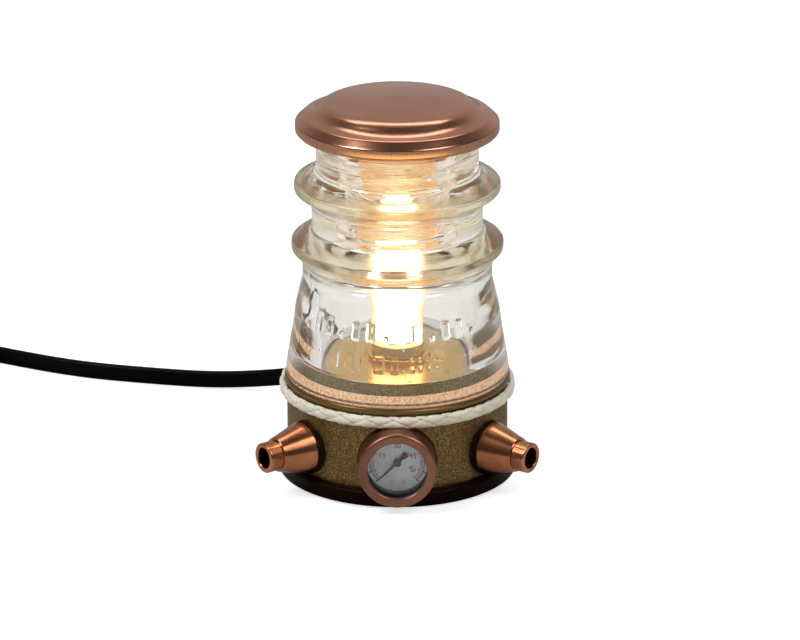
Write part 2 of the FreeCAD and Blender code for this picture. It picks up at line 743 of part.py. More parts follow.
def gauge_case():
    back_in = CASE_END - CASE_BACK_T
    cup = deep_tube(CASE_R, CASE_IN_R, WINDOW_BACK, back_in)
    back = deep(CASE_R, back_in, CASE_END).cut(deep(STEM_BLOCK_R, back_in, CASE_END, 0, STEM_BLOCK_Z))
    return cup.fuse(back)


def gauge_dial():
    back = DIAL_DEPTH + DIAL_T
    dial = deep(CASE_IN_R - DIAL_GAP, DIAL_DEPTH, back)
    dial = dial.cut(deep(ARBOR_R + DIAL_HOLE_GAP, DIAL_DEPTH, back))
    for side in (-1, 1):
        dial = dial.cut(deep(DIAL_SCREW_R, DIAL_DEPTH, back, side * DIAL_SCREW_X, DIAL_SCREW_Z))
    return dial


def dial_screws():
    screws = []
    for side in (-1, 1):
        x = side * DIAL_SCREW_X
        head = deep(DIAL_SCREW_HEAD_R, DIAL_DEPTH - DIAL_SCREW_HEAD_T, DIAL_DEPTH, x, DIAL_SCREW_Z)
        shank_end = DIAL_DEPTH + DIAL_T + MOVEMENT_BEHIND_DIAL / 2
        shank = deep(DIAL_SCREW_R, DIAL_DEPTH, shank_end, x, DIAL_SCREW_Z)
        screws.append(head.fuse(shank))
    return Part.makeCompound(screws)


def plate_blank(front, back):
    """Rounded strip of a movement plate, with holes for both arbors."""
    top, low = MOVEMENT_TOP_Z, MOVEMENT_LOW_Z
    upper = [V(-MOVEMENT_TOP_R, front, top), V(0, front, top + MOVEMENT_TOP_R), V(MOVEMENT_TOP_R, front, top)]
    lower = [V(MOVEMENT_LOW_R, front, low), V(0, front, low - MOVEMENT_LOW_R), V(-MOVEMENT_LOW_R, front, low)]
    edges = [
        Part.Arc(*upper).toShape(), Part.LineSegment(upper[2], lower[0]).toShape(),
        Part.Arc(*lower).toShape(), Part.LineSegment(lower[2], upper[0]).toShape(),
    ]
    blank = Part.Face(Part.Wire(edges)).extrude(V(0, back - front, 0))
    for z in (0, SECTOR_PIVOT_Z):
        blank = blank.cut(deep(ARBOR_R + ARBOR_GAP, front, back, 0, z))
    return blank


def movement_front_plate():
    """Front plate with the two bosses that the dial is screwed to."""
    plate = plate_blank(MOVEMENT_FRONT, MOVEMENT_MID)
    for side in (-1, 1):
        x, z = side * DIAL_SCREW_X, DIAL_SCREW_Z
        plate = plate.fuse(deep(DIAL_SCREW_R + DIAL_BOSS_WALL, DIAL_DEPTH + DIAL_T, MOVEMENT_FRONT, x, z))
        plate = plate.cut(deep(DIAL_SCREW_R, DIAL_DEPTH, MOVEMENT_FRONT - MOVEMENT_BEHIND_DIAL / 2, x, z))
    return plate


def movement_back_plate():
    """Back plate with the four pillars that carry the front plate."""
    plate = plate_blank(MOVEMENT_BACK, MOVEMENT_END)
    for x, z in ((PILLAR_TOP_X, PILLAR_TOP_Z), (PILLAR_LOW_X, PILLAR_LOW_Z)):
        for side in (-1, 1):
            plate = plate.fuse(deep(PILLAR_R, MOVEMENT_MID, MOVEMENT_BACK, side * x, z))
    return plate


def tooth_points(pitch_r, centre_deg, depth):
    """Root, tip, tip and root of one tooth about its own centre, clockwise."""
    addendum, dedendum = ADDENDUM_MODULES * GEAR_MODULE, DEDENDUM_MODULES * GEAR_MODULE
    half_pitch = math.pi * GEAR_MODULE / 4 * TOOTH_THINNING
    slope = math.tan(math.radians(PRESSURE_DEG))
    tip_r, root_r = pitch_r + addendum, pitch_r - dedendum
    tip_half, root_half = half_pitch - addendum * slope, half_pitch + dedendum * slope
    spots = ((root_r, -root_half), (tip_r, -tip_half), (tip_r, tip_half), (root_r, root_half))
    return [clock(r, centre_deg + math.degrees(w / r)) + V(0, depth, 0) for r, w in spots]


def pointer_arbor():
    """Arbor with the pinion cut on it."""
    front = MOVEMENT_MID + (MOVEMENT_ROOM - PINION_T) / 2
    points = []
    for i in range(PINION_TEETH):
        points += tooth_points(PINION_R, 180 + 360 * i / PINION_TEETH, front)
    pinion = Part.Face(Part.makePolygon(points + points[:1])).extrude(V(0, PINION_T, 0))
    return pinion.fuse(deep(ARBOR_R, pointer_front() + POINTER_HUB_FACE_T, MOVEMENT_END))


def pointer_front():
    return DIAL_DEPTH - POINTER_LIFT - POINTER_HUB_T


def gauge_pointer():
    """Needle, hub and flared tail at the zero mark, pressed on the arbor."""
    front = pointer_front()
    back = front + POINTER_HUB_T
    zero = POINTER_ZERO_DEG
    hub = deep(POINTER_HUB_R, front, back)
    inside_r = POINTER_HUB_R - POINTER_TIP_HALF_W
    tip = clock(POINTER_L, zero)
    root = [clock(inside_r, zero - POINTER_ROOT_DEG), clock(inside_r, zero + POINTER_ROOT_DEG)]
    wing = POINTER_TAIL_DEG / 2
    behind = zero + 180
    tail = [clock(POINTER_TAIL_L, behind - wing), clock(POINTER_TAIL_L + POINTER_TAIL_BULGE, behind),
            clock(POINTER_TAIL_L, behind + wing)]
    waist = [clock(inside_r, behind - POINTER_TAIL_ROOT_DEG), clock(inside_r, behind + POINTER_TAIL_ROOT_DEG)]
    lift = V(0, back - POINTER_T, 0)
    across = clock(POINTER_TIP_HALF_W, zero + 90)
    corners = [p + lift for p in (root[0], tip - across, tip + across, root[1], root[0])]
    needle = Part.Face(Part.makePolygon(corners))
    tail, waist = [p + lift for p in tail], [p + lift for p in waist]
    sides = [Part.LineSegment(waist[1], waist[0]), Part.LineSegment(waist[0], tail[0]),
             Part.Arc(*tail), Part.LineSegment(tail[2], waist[1])]
    fan = Part.Face(Part.Wire([side.toShape() for side in sides]))
    blade = V(0, POINTER_T, 0)
    pointer = hub.fuse([needle.extrude(blade), fan.extrude(blade)])
    return pointer.cut(deep(ARBOR_R, front + POINTER_HUB_FACE_T, back))


def sector_gear():
    """Toothed sector on its arbor, drawn at the zero of the scale, with a tail for the link."""
    front = MOVEMENT_MID + (MOVEMENT_ROOM - SECTOR_T) / 2
    pitch_deg = 360.0 / (PINION_TEETH * SECTOR_RATIO)
    rest = SECTOR_SWEEP_DEG / 2
    points = [V(0, front, 0)]
    for i in range(SECTOR_TOOTH_COUNT):
        points += tooth_points(SECTOR_R, (i - 0.5) * pitch_deg, front)
    web = Part.Face(Part.makePolygon(points + points[:1])).extrude(V(0, SECTOR_T, 0))
    spots = ((SECTOR_WINDOW_LOW_R, 0), (SECTOR_WINDOW_HIGH_R, -SECTOR_WINDOW_DEG),
             (SECTOR_WINDOW_HIGH_R, SECTOR_WINDOW_DEG))
    window = [clock(r, rest + turn) + V(0, front, 0) for r, turn in spots]
    web = web.cut(Part.Face(Part.makePolygon(window + window[:1])).extrude(V(0, SECTOR_T, 0)))
    eye = tail_eye()
    tail = deep(TAIL_EYE_R, front, front + SECTOR_T, eye.x, eye.z)
    side = clock(TAIL_EYE_R, rest + 90)
    strap = [side, eye + side, eye - side, side * -1, side]
    strap = Part.Face(Part.makePolygon([p + V(0, front, 0) for p in strap])).extrude(V(0, SECTOR_T, 0))
    hub = deep(SECTOR_HUB_R, front, MOVEMENT_BACK - SECTOR_HUB_GAP)
    arbor = deep(ARBOR_R, MOVEMENT_FRONT, MOVEMENT_END)
    pin = deep(TAIL_PIN_R, link_front(), front, eye.x, eye.z)
    gear = web.fuse([tail, strap, hub, arbor, pin])
    gear.translate(V(0, 0, SECTOR_PIVOT_Z))
    return gear


def tail_eye():
    """Centre of the sector's tail eye at rest, from the sector's pivot."""
    return clock(SECTOR_TAIL_L, 180 + SECTOR_SWEEP_DEG / 2)


def link_front():
    return MOVEMENT_MID + LINK_GAP


def tip_pin():
    """Centre of the pin on the tube's tip."""
    return clock(BOURDON_R, BOURDON_TIP_DEG + BOURDON_PLUG_DEG)


def gauge_link():
    """Link from the sector's tail to the slot round the tube's tip pin."""
    start = tail_eye() + V(0, 0, SECTOR_PIVOT_Z)
    end = tip_pin()
    swing = math.radians(SECTOR_SWEEP_DEG / 2)
    travel = 2 * SECTOR_TAIL_L * math.sin(swing)
    lift = V(0, link_front(), 0)
    front, back = link_front(), link_front() + LINK_T
    hole = TAIL_PIN_R + ARBOR_GAP
    slot_half = TAIL_PIN_R + 2 * ARBOR_GAP + SECTOR_TAIL_L * (1 - math.cos(swing))
    eye = deep(TAIL_EYE_R, front, back, start.x, start.z)
    fork_half = slot_half + LINK_FORK_WALL
    fork = Part.makeBox(travel + 2 * fork_half, LINK_T, 2 * fork_half,
                        V(end.x - travel - fork_half, front, end.z - fork_half))
    along = (end - start).normalize()
    side = V(-along.z, 0, along.x) * (LINK_W / 2)
    reach = end - V(travel + slot_half, 0, 0)
    bar = [start + side, reach + side, reach - side, start - side, start + side]
    bar = Part.Face(Part.makePolygon([p + lift for p in bar])).extrude(V(0, LINK_T, 0))
    slot = Part.makeBox(travel + 2 * slot_half, LINK_T, 2 * slot_half,
                        V(end.x - travel - slot_half, front, end.z - slot_half))
    return eye.fuse([fork, bar]).cut(slot).cut(deep(hole, front, back, start.x, start.z))


def bourdon_tube():
    """Flattened spring tube, bent in a C from the stem's post to its tip plug."""
    front = bourdon_front()
    inner, outer = BOURDON_R - BOURDON_RADIAL / 2, BOURDON_R + BOURDON_RADIAL / 2
    section = Part.Face(Part.makePolygon([V(x, front + y, 0) for x, y in (
        (inner, 0), (outer, 0), (outer, BOURDON_AXIAL), (inner, BOURDON_AXIAL), (inner, 0))]))
    sweep = BOURDON_TIP_DEG - BOURDON_ROOT_DEG
    section.rotate(ORIGIN, Y_AXIS, BOURDON_ROOT_DEG - 90)
    coil = section.revolve(ORIGIN, Y_AXIS, sweep)
    tip = tip_pin()
    plug = deep(BOURDON_PLUG_R, front, front + BOURDON_AXIAL, tip.x, tip.z)
    pin = deep(TAIL_PIN_R, link_front(), front, tip.x, tip.z)
    return coil.fuse([plug, pin]).cut(stem_post())


def bourdon_front():
    return MOVEMENT_BACK - BOURDON_BACK_GAP - BOURDON_AXIAL


def stem_post():
    """Pin of the stem that the spring tube's root is set on."""
    root = clock(BOURDON_R, BOURDON_ROOT_DEG)
    return deep(BOURDON_POST_R, bourdon_front(), MOVEMENT_END + STEM_ARM_T, root.x, root.z)


def gauge_stem():
    """Block that carries movement and tube, with the hexagon and threaded stem behind the case."""
    block = deep(STEM_BLOCK_R, MOVEMENT_END, CASE_END, 0, STEM_BLOCK_Z)
    root = clock(BOURDON_R, BOURDON_ROOT_DEG)
    centre = V(0, 0, STEM_BLOCK_Z)
    along = (root - centre).normalize()
    side = V(-along.z, 0, along.x) * BOURDON_POST_R
    arm = [centre + side, root + side, root - side, centre - side, centre + side]
    arm = Part.Face(Part.makePolygon([p + V(0, MOVEMENT_END, 0) for p in arm])).extrude(V(0, STEM_ARM_T, 0))
    hexagonal = hexagon(STEM_HEX_FLATS, CASE_END, CASE_END + STEM_HEX_L)
    hexagonal.rotate(ORIGIN, X_AXIS, -90)
    hexagonal.translate(V(0, 0, STEM_BLOCK_Z))
    thread = deep(STEM_R, CASE_END + STEM_HEX_L, CASE_END + STEM_HEX_L + STEM_L, 0, STEM_BLOCK_Z)
    return block.fuse([arm, stem_post(), hexagonal, thread])


# ---------------------------------------------------------------- cord, leads and plug
CORD_Z = CORD_W / 2
CORD_FRONT_POINTS = [
    CORD_EXIT_DIR * (SHELL_IN_R - CORD_START_IN) + V(0, 0, CORD_EXIT_Z),
    CORD_EXIT_DIR * CORD_TURN_R + V(0, 0, CORD_EXIT_Z),
    V(-56.0, 87.0, 6.2),
    V(-80.0, 91.2, CORD_Z),
    V(-108.0, 96.4, CORD_Z),
    V(-140.0, 104.6, CORD_Z),
    V(-172.0, 120.4, CORD_Z),
    V(-209.5, 142.0, CORD_Z),
]


def cord_section(centre, heading, height, width):
    """Flat flex section on edge, square to its heading: a tall stadium."""
    side = V(-heading.y, heading.x, 0).normalize() * (width / 2)
    up = V(0, 0, height / 2 - width / 2)
    crest = V(0, 0, height / 2)
    right_low, right_high = centre - side - up, centre - side + up
    left_high, left_low = centre + side + up, centre + side - up
    return Part.Wire([
        Part.LineSegment(right_low, right_high).toShape(),
        Part.Arc(right_high, centre + crest, left_high).toShape(),
        Part.LineSegment(left_high, left_low).toShape(),
        Part.Arc(left_low, centre - crest, right_low).toShape(),
    ])


def routed(points):
    """Wire of straight runs joined by tangent arcs as large as the runs allow, and the arcs' radii."""
    edges, radii, here = [], [], points[0]
    for before, p, after in zip(points, points[1:], points[2:]):
        back, on = (before - p), (after - p)
        half_turn = (math.pi - back.getAngle(on)) / 2
        reach = ARC_SHARE * min(back.Length, on.Length)
        radius = reach / math.tan(half_turn)
        back.normalize()
        on.normalize()
        start, end = p + back * reach, p + on * reach
        middle = (back + on).normalize()
        summit = p + middle * (radius / math.cos(half_turn) - radius)
        edges += [Part.LineSegment(here, start).toShape(), Part.Arc(start, summit, end).toShape()]
        radii.append(radius)
        here = end
    edges.append(Part.LineSegment(here, points[-1]).toShape())
    return Part.Wire(edges), radii


def cord_tube(points, name):
    """Flat flex swept along its route, kept on edge."""
    path, radii = routed(points)
    section = cord_section(points[0], points[1] - points[0], CORD_W, CORD_T)
    sweep = Part.BRepOffsetAPI.MakePipeShell(path)
    sweep.setBiNormalMode(Z_AXIS)
    sweep.add(section)
    sweep.build()
    sweep.makeSolid()
    solid = sweep.shape()
    if solid.Volume < 0:
        solid.reverse()
    expected = Part.Face(section).Area * path.Length
    print(name, "tightest arc", round(min(radii) / CORD_W, 1), "diameters, length", round(path.Length, 1))
    print(name, "volume", round(solid.Volume), "expected", round(expected))
    return solid


def coil_inner_turn_r():
    return COIL_OUTER_TURN_R - COIL_PITCH * COIL_TURNS


def cord_coil():
    """Outer shape of the neat coil: turns beside each other, in layers."""
    outer = COIL_OUTER_TURN_R + CORD_T / 2
    inner = coil_inner_turn_r() - CORD_T / 2
    height = COIL_LAYERS * CORD_W
    ring = tube(outer, inner, 0, height)
    ring.translate(COIL_CENTRE)
    return ring


PLUG_BACK = V(-272.5, 34.0, PLUG_T / 2)
CORD_TAIL_POINTS = [
    V(-268.9, 100.2, (COIL_LAYERS - 0.5) * CORD_W),
    V(-275.5, 80.0, 9.2),
    V(-272.5, 58.0, PLUG_T / 2),
    PLUG_BACK,
]


def boot():
    """Tapered strain relief in the back of the shell, with a slot for the flex."""
    root = SHELL_R
    neck_in = SHELL_IN_R - BOOT_NECK_IN
    solid = turned([
        (0, neck_in, 0), (BOOT_NECK_R, neck_in, EDGE_R), (BOOT_NECK_R, root, 0), (BOOT_R, root, EDGE_R),
        (BOOT_R, root + BOOT_FLANGE_T, EDGE_R), (BOOT_NECK_R, root + BOOT_FLANGE_T, EDGE_R),
        (BOOT_TIP_R, root + BOOT_L, EDGE_R), (0, root + BOOT_L, 0),
    ])
    slot = cord_section(ORIGIN, Y_AXIS, CORD_W + 2 * BOOT_SLOT_GAP, CORD_T + 2 * BOOT_SLOT_GAP)
    slot = Part.Face(slot).extrude(V(0, 2 * (root + BOOT_L), 0))
    solid.rotate(ORIGIN, X_AXIS, -90)
    solid = solid.cut(slot)
    solid.rotate(ORIGIN, Z_AXIS, CORD_EXIT_DEG)
    solid.translate(V(0, 0, CORD_EXIT_Z))
    wall = cylinder(SHELL_R, FOOT_TOP, PLATE_LOW).cut(cylinder(SHELL_IN_R, FOOT_TOP, PLATE_LOW))
    neck = Part.makeCylinder(BOOT_NECK_R, 2 * SHELL_R, V(0, 0, CORD_EXIT_Z), CORD_EXIT_DIR)
    return solid.cut(wall.cut(neck))


def round_lead(points):
    """Round insulated wire along a route."""
    path, _ = routed(points)
    ring = Part.Wire(Part.makeCircle(LEAD_R, points[0], points[1] - points[0]))
    return path.makePipeShell([ring], True, True)


def lead(side):
    """Wire from the flex's inner end to the terminal screw on one side of the socket."""
    start = CORD_EXIT_DIR * (SHELL_IN_R - CORD_START_IN) + V(0, 0, CORD_EXIT_Z - side * CORD_T / 2)
    level = SOCKET_LOW + TERMINAL_UP
    x = side * terminal_x()
    return round_lead([
        start, start - CORD_EXIT_DIR * LEAD_STRAIGHT,
        V(x + side * LEAD_BOW_X, LEAD_BOW_Y, level - LEAD_BOW_DROP),
        V(x, LEAD_END_RUN, level), V(x, LEAD_END_Y, level),
    ])


def plug_block(width, length, height, back):
    """Block lying along Y up to its back face, with rounded long edges."""
    corner = V(PLUG_BACK.x - width / 2, back - length, PLUG_BACK.z - height / 2)
    block = Part.makeBox(width, length, height, corner)
    long_edges = [e for e in block.Edges if abs(e.Vertexes[0].Y - e.Vertexes[1].Y) > length / 2]
    return block.makeFillet(PLUG_EDGE_R, long_edges)


def plug_body():
    neck = plug_block(PLUG_NECK_W, PLUG_NECK_L, PLUG_NECK_T, PLUG_BACK.y)
    return neck.fuse(plug_block(PLUG_W, PLUG_L, PLUG_T, PLUG_BACK.y - PLUG_NECK_L))


def plug_blades():
    face = PLUG_BACK.y - PLUG_NECK_L - PLUG_L
    blades = []
    for side in (-1, 1):
        x = PLUG_BACK.x + side * BLADE_SPACING / 2 - BLADE_T / 2
        corner = V(x, face - BLADE_L, (PLUG_T - BLADE_H) / 2)
        blades.append(Part.makeBox(BLADE_T, BLADE_L, BLADE_H, corner))
    return Part.makeCompound(blades)


# ---------------------------------------------------------------- assembly
def build():
    os.makedirs("parts", exist_ok=True)
    save("foot_pad", foot_pad())
    save("foot_disc", foot_disc())
    save("base_shell", base_shell())
    save("top_plate", top_plate())
    save("braid_band", braid_band())
    save("glass_insulator", glass_insulator())
    save("cap", cap())
    save("cap_pad", cap_pad())
    save("bulb_glass", bulb_glass())
    save("bulb_base", bulb_base())
    save("bulb_filament", bulb_filament())
    save("socket_body", socket_body())
    save("socket_shell", socket_shell())
    save("socket_contact", socket_contact())
    save("socket_cup", socket_cup())
    save("socket_ring_nut", socket_ring_nut())
    save("socket_terminals", socket_terminals())
    save("socket_hickey", socket_hickey())
    save("nipple", nipple())
    save("nipple_nuts", nipple_nuts())
    save("nipple_washers", nipple_washers())
    for name, angle in NOZZLES:
        save("nozzle_" + name, nozzle(angle))
        save("nozzle_grommet_" + name, nozzle_grommet(angle))
    save("gauge_housing", at_gauge(housing()))
    save("gauge_bezel", at_gauge(gauge_bezel()))
    save("gauge_window", at_gauge(gauge_window()))
    save("gauge_case", at_gauge(gauge_case()))
    save("gauge_dial", at_gauge(gauge_dial()))
    save("dial_screws", at_gauge(dial_screws()))
    save("movement_front_plate", at_gauge(movement_front_plate()))
    save("movement_back_plate", at_gauge(movement_back_plate()))
    save("pointer_arbor", at_gauge(pointer_arbor()))
    save("gauge_pointer", at_gauge(gauge_pointer()))
    save("sector_gear", at_gauge(sector_gear()))
    save("gauge_link", at_gauge(gauge_link()))
    save("bourdon_tube", at_gauge(bourdon_tube()))
    save("gauge_stem", at_gauge(gauge_stem()))
    save("strain_relief", boot())
    save("lead_live", lead(1))
    save("lead_neutral", lead(-1))
    coil = cord_coil()
    save("cord_front", cord_tube(CORD_FRONT_POINTS, "cord_front").cut(coil))
    save("cord_coil", coil)
    save("cord_tail", cord_tube(CORD_TAIL_POINTS, "cord_tail"))
    save("plug_body", plug_body())
    save("plug_blades", plug_blades())


build()
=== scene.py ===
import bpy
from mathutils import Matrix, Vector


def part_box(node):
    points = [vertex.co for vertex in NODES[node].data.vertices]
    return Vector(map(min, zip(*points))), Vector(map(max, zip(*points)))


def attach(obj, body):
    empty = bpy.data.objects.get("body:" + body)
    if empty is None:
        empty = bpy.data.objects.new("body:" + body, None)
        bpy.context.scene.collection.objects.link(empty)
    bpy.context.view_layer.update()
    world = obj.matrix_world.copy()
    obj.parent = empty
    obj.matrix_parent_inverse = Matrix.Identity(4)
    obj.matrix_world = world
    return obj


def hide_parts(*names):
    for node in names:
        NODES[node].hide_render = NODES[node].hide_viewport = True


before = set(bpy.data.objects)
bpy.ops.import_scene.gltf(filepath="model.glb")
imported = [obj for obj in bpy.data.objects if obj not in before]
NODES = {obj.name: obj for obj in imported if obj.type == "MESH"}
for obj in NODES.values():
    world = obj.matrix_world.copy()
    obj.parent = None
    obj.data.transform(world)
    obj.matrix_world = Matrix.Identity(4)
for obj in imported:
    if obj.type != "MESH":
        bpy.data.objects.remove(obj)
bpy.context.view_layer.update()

import math
import random

import bmesh
import bpy
import numpy as np
from mathutils import Vector

MM = 0.001

# ---------------------------------------------------------------- places taken from the frame
SEAT_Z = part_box("glass_insulator")[0].z
SHELL_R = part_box("base_shell")[1].x
BRAID_LOW, BRAID_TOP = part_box("braid_band")
BRAID_IN = SHELL_R + 0.05 * MM
BRAID_HALF_T = (BRAID_TOP.x - BRAID_IN) / 2
BRAID_HALF_H = (BRAID_TOP.z - BRAID_LOW.z) / 2
BRAID_Z = (BRAID_TOP.z + BRAID_LOW.z) / 2
DIAL_LOW, DIAL_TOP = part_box("gauge_dial")
DIAL_Z = (DIAL_TOP.z + DIAL_LOW.z) / 2
COIL_LOW, COIL_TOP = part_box("cord_coil")
COIL_CENTRE = (COIL_LOW + COIL_TOP) / 2


# ---------------------------------------------------------------- camera
CAMERA_AIM = Vector((0.0011, 0, 0.0644))
CAMERA_DISTANCE = 1.8595
CAMERA_ELEVATION = math.radians(19.8)
CAMERA_LENS = 202.5


def make_camera():
    data = bpy.data.cameras.new("camera")
    data.lens = CAMERA_LENS
    data.clip_end = 10
    camera = bpy.data.objects.new("camera", data)
    bpy.context.collection.objects.link(camera)
    away = Vector((0, -math.cos(CAMERA_ELEVATION), math.sin(CAMERA_ELEVATION)))
    camera.location = CAMERA_AIM + away * CAMERA_DISTANCE
    camera.rotation_euler = (-away).to_track_quat("-Z", "Y").to_euler()
    bpy.context.scene.camera = camera


# ---------------------------------------------------------------- cord
CORD_W = 7.5 * MM
CORD_T = 3.8 * MM
CORD_Z = CORD_W / 2
CORD_EXIT_DEG = 26.0
CORD_EXIT_Z = 14 * MM
CORD_START_R = 40.0 * MM
CORD_TURN_R = 80.0 * MM
COIL_OUTER_R = 45 * MM
COIL_INNER_R = 33 * MM
COIL_START_DEG = 60.8
COIL_END_DEG = 180.0 + 360 * 6
COIL_STEP_DEG = 20.0
COIL_CLIMB_DEG = 90
# Places of the flex in mm: from the strain relief to the coil, and from the coil to the plug's back
CORD_FRONT = [(-56.0, 87.0, 6.2), (-80.0, 91.2, 3.75), (-108.0, 96.4, 3.75), (-140.0, 104.6, 3.75),
              (-172.0, 120.4, 3.75), (-209.5, 142.0, 3.75)]
CORD_TAIL = [(-275.5, 80.0, 9.2), (-272.5, 58.0, 6.5), (-272.5, 34.0, 6.5)]
FLEX_SIDES = 36
GROOVE_DEPTH = 0.34
GROOVE_FROM = 0.86
WEB_SHARPNESS = 4.0


def exit_point(radius):
    a = math.radians(CORD_EXIT_DEG)
    return Vector((-radius * math.sin(a), radius * math.cos(a), CORD_EXIT_Z))


def coil_points():
    """Two flat spirals, one on the other: inwards on the floor, then outwards on top."""
    total = COIL_END_DEG - COIL_START_DEG
    steps = round(total / COIL_STEP_DEG)
    points = []
    for i in range(1, steps + 1):
        share = i / steps
        a = math.radians(COIL_START_DEG + total * share)
        radius = COIL_INNER_R + (COIL_OUTER_R - COIL_INNER_R) * abs(1 - 2 * share)
        rise = min(1, max(0, (share - 0.5) * total / COIL_CLIMB_DEG + 0.5))
        layer = rise * rise * (3 - 2 * rise)
        points.append(COIL_CENTRE + Vector((radius * math.cos(a), radius * math.sin(a), 0)))
        points[-1].z = CORD_Z + CORD_W * layer
    return points


def cord_points():
    start = [exit_point(CORD_START_R), exit_point(CORD_TURN_R)]
    front = [Vector(place) * MM for place in CORD_FRONT]
    tail = [Vector(place) * MM for place in CORD_TAIL]
    return start + front + coil_points() + tail


def flex_profile():
    """Section of flat twin flex in millimetres: two round cores with a groove between them."""
    data = bpy.data.curves.new("flex_profile", "CURVE")
    data.dimensions = "2D"
    spline = data.splines.new("POLY")
    spline.points.add(FLEX_SIDES - 1)
    core = CORD_T / 2 / MM
    apart = CORD_W / 2 / MM - core
    for i in range(FLEX_SIDES):
        a = 2 * math.pi * i / FLEX_SIDES
        groove = 1 - GROOVE_DEPTH * max(0, abs(math.cos(a)) - GROOVE_FROM) / (1 - GROOVE_FROM)
        x = core * math.cos(a) * groove if abs(math.sin(a)) < 0.5 else core * math.cos(a)
        y = core * math.sin(a) + apart * math.tanh(WEB_SHARPNESS * math.sin(a))
        spline.points[i].co = (x, y, 0, 1)
    spline.use_cyclic_u = True
    profile = bpy.data.objects.new("flex_profile", data)
    bpy.context.collection.objects.link(profile)
    profile.hide_render = True
    profile.hide_viewport = True
    return profile


def make_cord():
    data = bpy.data.curves.new("mains_flex", "CURVE")
    data.dimensions = "3D"
    data.twist_mode = "Z_UP"
    data.resolution_u = 8
    data.bevel_mode = "OBJECT"
    data.bevel_object = flex_profile()
    data.use_fill_caps = True
    points = cord_points()
    spline = data.splines.new("NURBS")
    spline.points.add(len(points) - 1)
    for target, place in zip(spline.points, points):
        target.co = (*place, 1)
        target.radius = MM
    spline.order_u = 3
    spline.use_endpoint_u = True
    flex = bpy.data.objects.new("mains_flex", data)
    bpy.context.collection.objects.link(flex)
    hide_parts("cord_front", "cord_coil", "cord_tail")
    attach(flex, "base")
    black = rubber("flex_black", (0.0012, 0.0012, 0.0013), 0.34, 900, 0.12, 0.06)
    flex.data.materials.append(black)


# ---------------------------------------------------------------- shader helpers
def shader(name):
    """New material. Gives the material, its node tree and its principled shader."""
    material = bpy.data.materials.new(name)
    material.use_nodes = True
    tree = material.node_tree
    return material, tree, tree.nodes["Principled BSDF"]


def add(tree, kind, **properties):
    """New node, with values for its properties."""
    node = tree.nodes.new(kind)
    for key, value in properties.items():
        setattr(node, key, value)
    return node


def put(socket, value):
    """Give an input a value: a node's output, a colour, a vector or a number."""
    if isinstance(value, bpy.types.NodeSocket):
        socket.id_data.links.new(value, socket)
    elif socket.type == "RGBA":
        socket.default_value = (*value, 1)
    else:
        socket.default_value = value


def feed(node, **values):
    """Give a node's inputs their values, by name with _ for a space."""
    for key, value in values.items():
        put(node.inputs[key.replace("_", " ")], value)
    return node


def arithmetic(tree, operation, *values):
    node = add(tree, "ShaderNodeMath", operation=operation)
    for socket, value in zip(node.inputs, values):
        put(socket, value)
    return node.outputs[0]


def object_place(tree):
    return add(tree, "ShaderNodeTexCoord").outputs["Object"]


def object_axes(tree):
    """X, Y and Z of the object's own coordinates, in metres, as outputs by name."""
    return feed(add(tree, "ShaderNodeSeparateXYZ"), Vector=object_place(tree)).outputs


def noise(tree, scale, detail=3.0, rough=0.55, place=None):
    """Noise over the object's own coordinates, scale per metre, or over another place."""
    place = object_place(tree) if place is None else place
    node = feed(add(tree, "ShaderNodeTexNoise"), Scale=scale, Detail=detail, Roughness=rough,
                Vector=place)
    return node.outputs["Fac"]


def ramp(tree, factor, stops):
    """Colour ramp of (place, colour) stops."""
    node = add(tree, "ShaderNodeValToRGB")
    elements = node.color_ramp.elements
    while len(elements) < len(stops):
        elements.new(0.5)
    for element, (place, colour) in zip(elements, stops):
        element.position = place
        element.color = (*colour, 1)
    return feed(node, Fac=factor).outputs["Color"]


def bump(tree, height, strength, distance, after=None):
    node = feed(add(tree, "ShaderNodeBump"), Strength=strength, Distance=distance, Height=height)
    if after is not None:
        feed(node, Normal=after)
    return node.outputs["Normal"]


def between(tree, value, start, end, low, high):
    """Smoothly map start..end to low..high."""
    node = add(tree, "ShaderNodeMapRange", interpolation_type="SMOOTHSTEP")
    feed(node, Value=value, From_Min=start, From_Max=end, To_Min=low, To_Max=high)
    return node.outputs[0]


def spread(tree, factor, low, high):
    """Map 0..1 to low..high."""
    return feed(add(tree, "ShaderNodeMapRange"), Value=factor, To_Min=low, To_Max=high).outputs[0]


def mixed(tree, factor, first, second):
    """Number between two by a factor."""
    node = add(tree, "ShaderNodeMix", data_type="FLOAT")
    for place, value in ((0, factor), (2, first), (3, second)):
        put(node.inputs[place], value)
    return node.outputs[0]


def mixed_colour(tree, factor, first, second):
    """Colour between two by a factor."""
    node = add(tree, "ShaderNodeMix", data_type="RGBA")
    for place, value in ((0, factor), (6, first), (7, second)):
        put(node.inputs[place], value)
    return node.outputs[2]


def slant_of(tree, blend=0.5):
    """From 0 where a surface is seen face on to 1 where it is seen along itself."""
    return feed(add(tree, "ShaderNodeLayerWeight"), Blend=blend).outputs["Facing"]


def lathe_places(tree):
    """Radius from the lamp's axis and height, in metres, as two outputs."""
    axes = object_axes(tree)
    flat = feed(add(tree, "ShaderNodeCombineXYZ"), X=axes["X"], Y=axes["Y"])
    length = feed(add(tree, "ShaderNodeVectorMath", operation="LENGTH"), Vector=flat.outputs[0])
    return length.outputs["Value"], axes["Z"]


def tinted(colour, share):
    return tuple(min(1, c * share) for c in colour)


# ---------------------------------------------------------------- materials
NOZZLE_SPREAD_DEG = 54


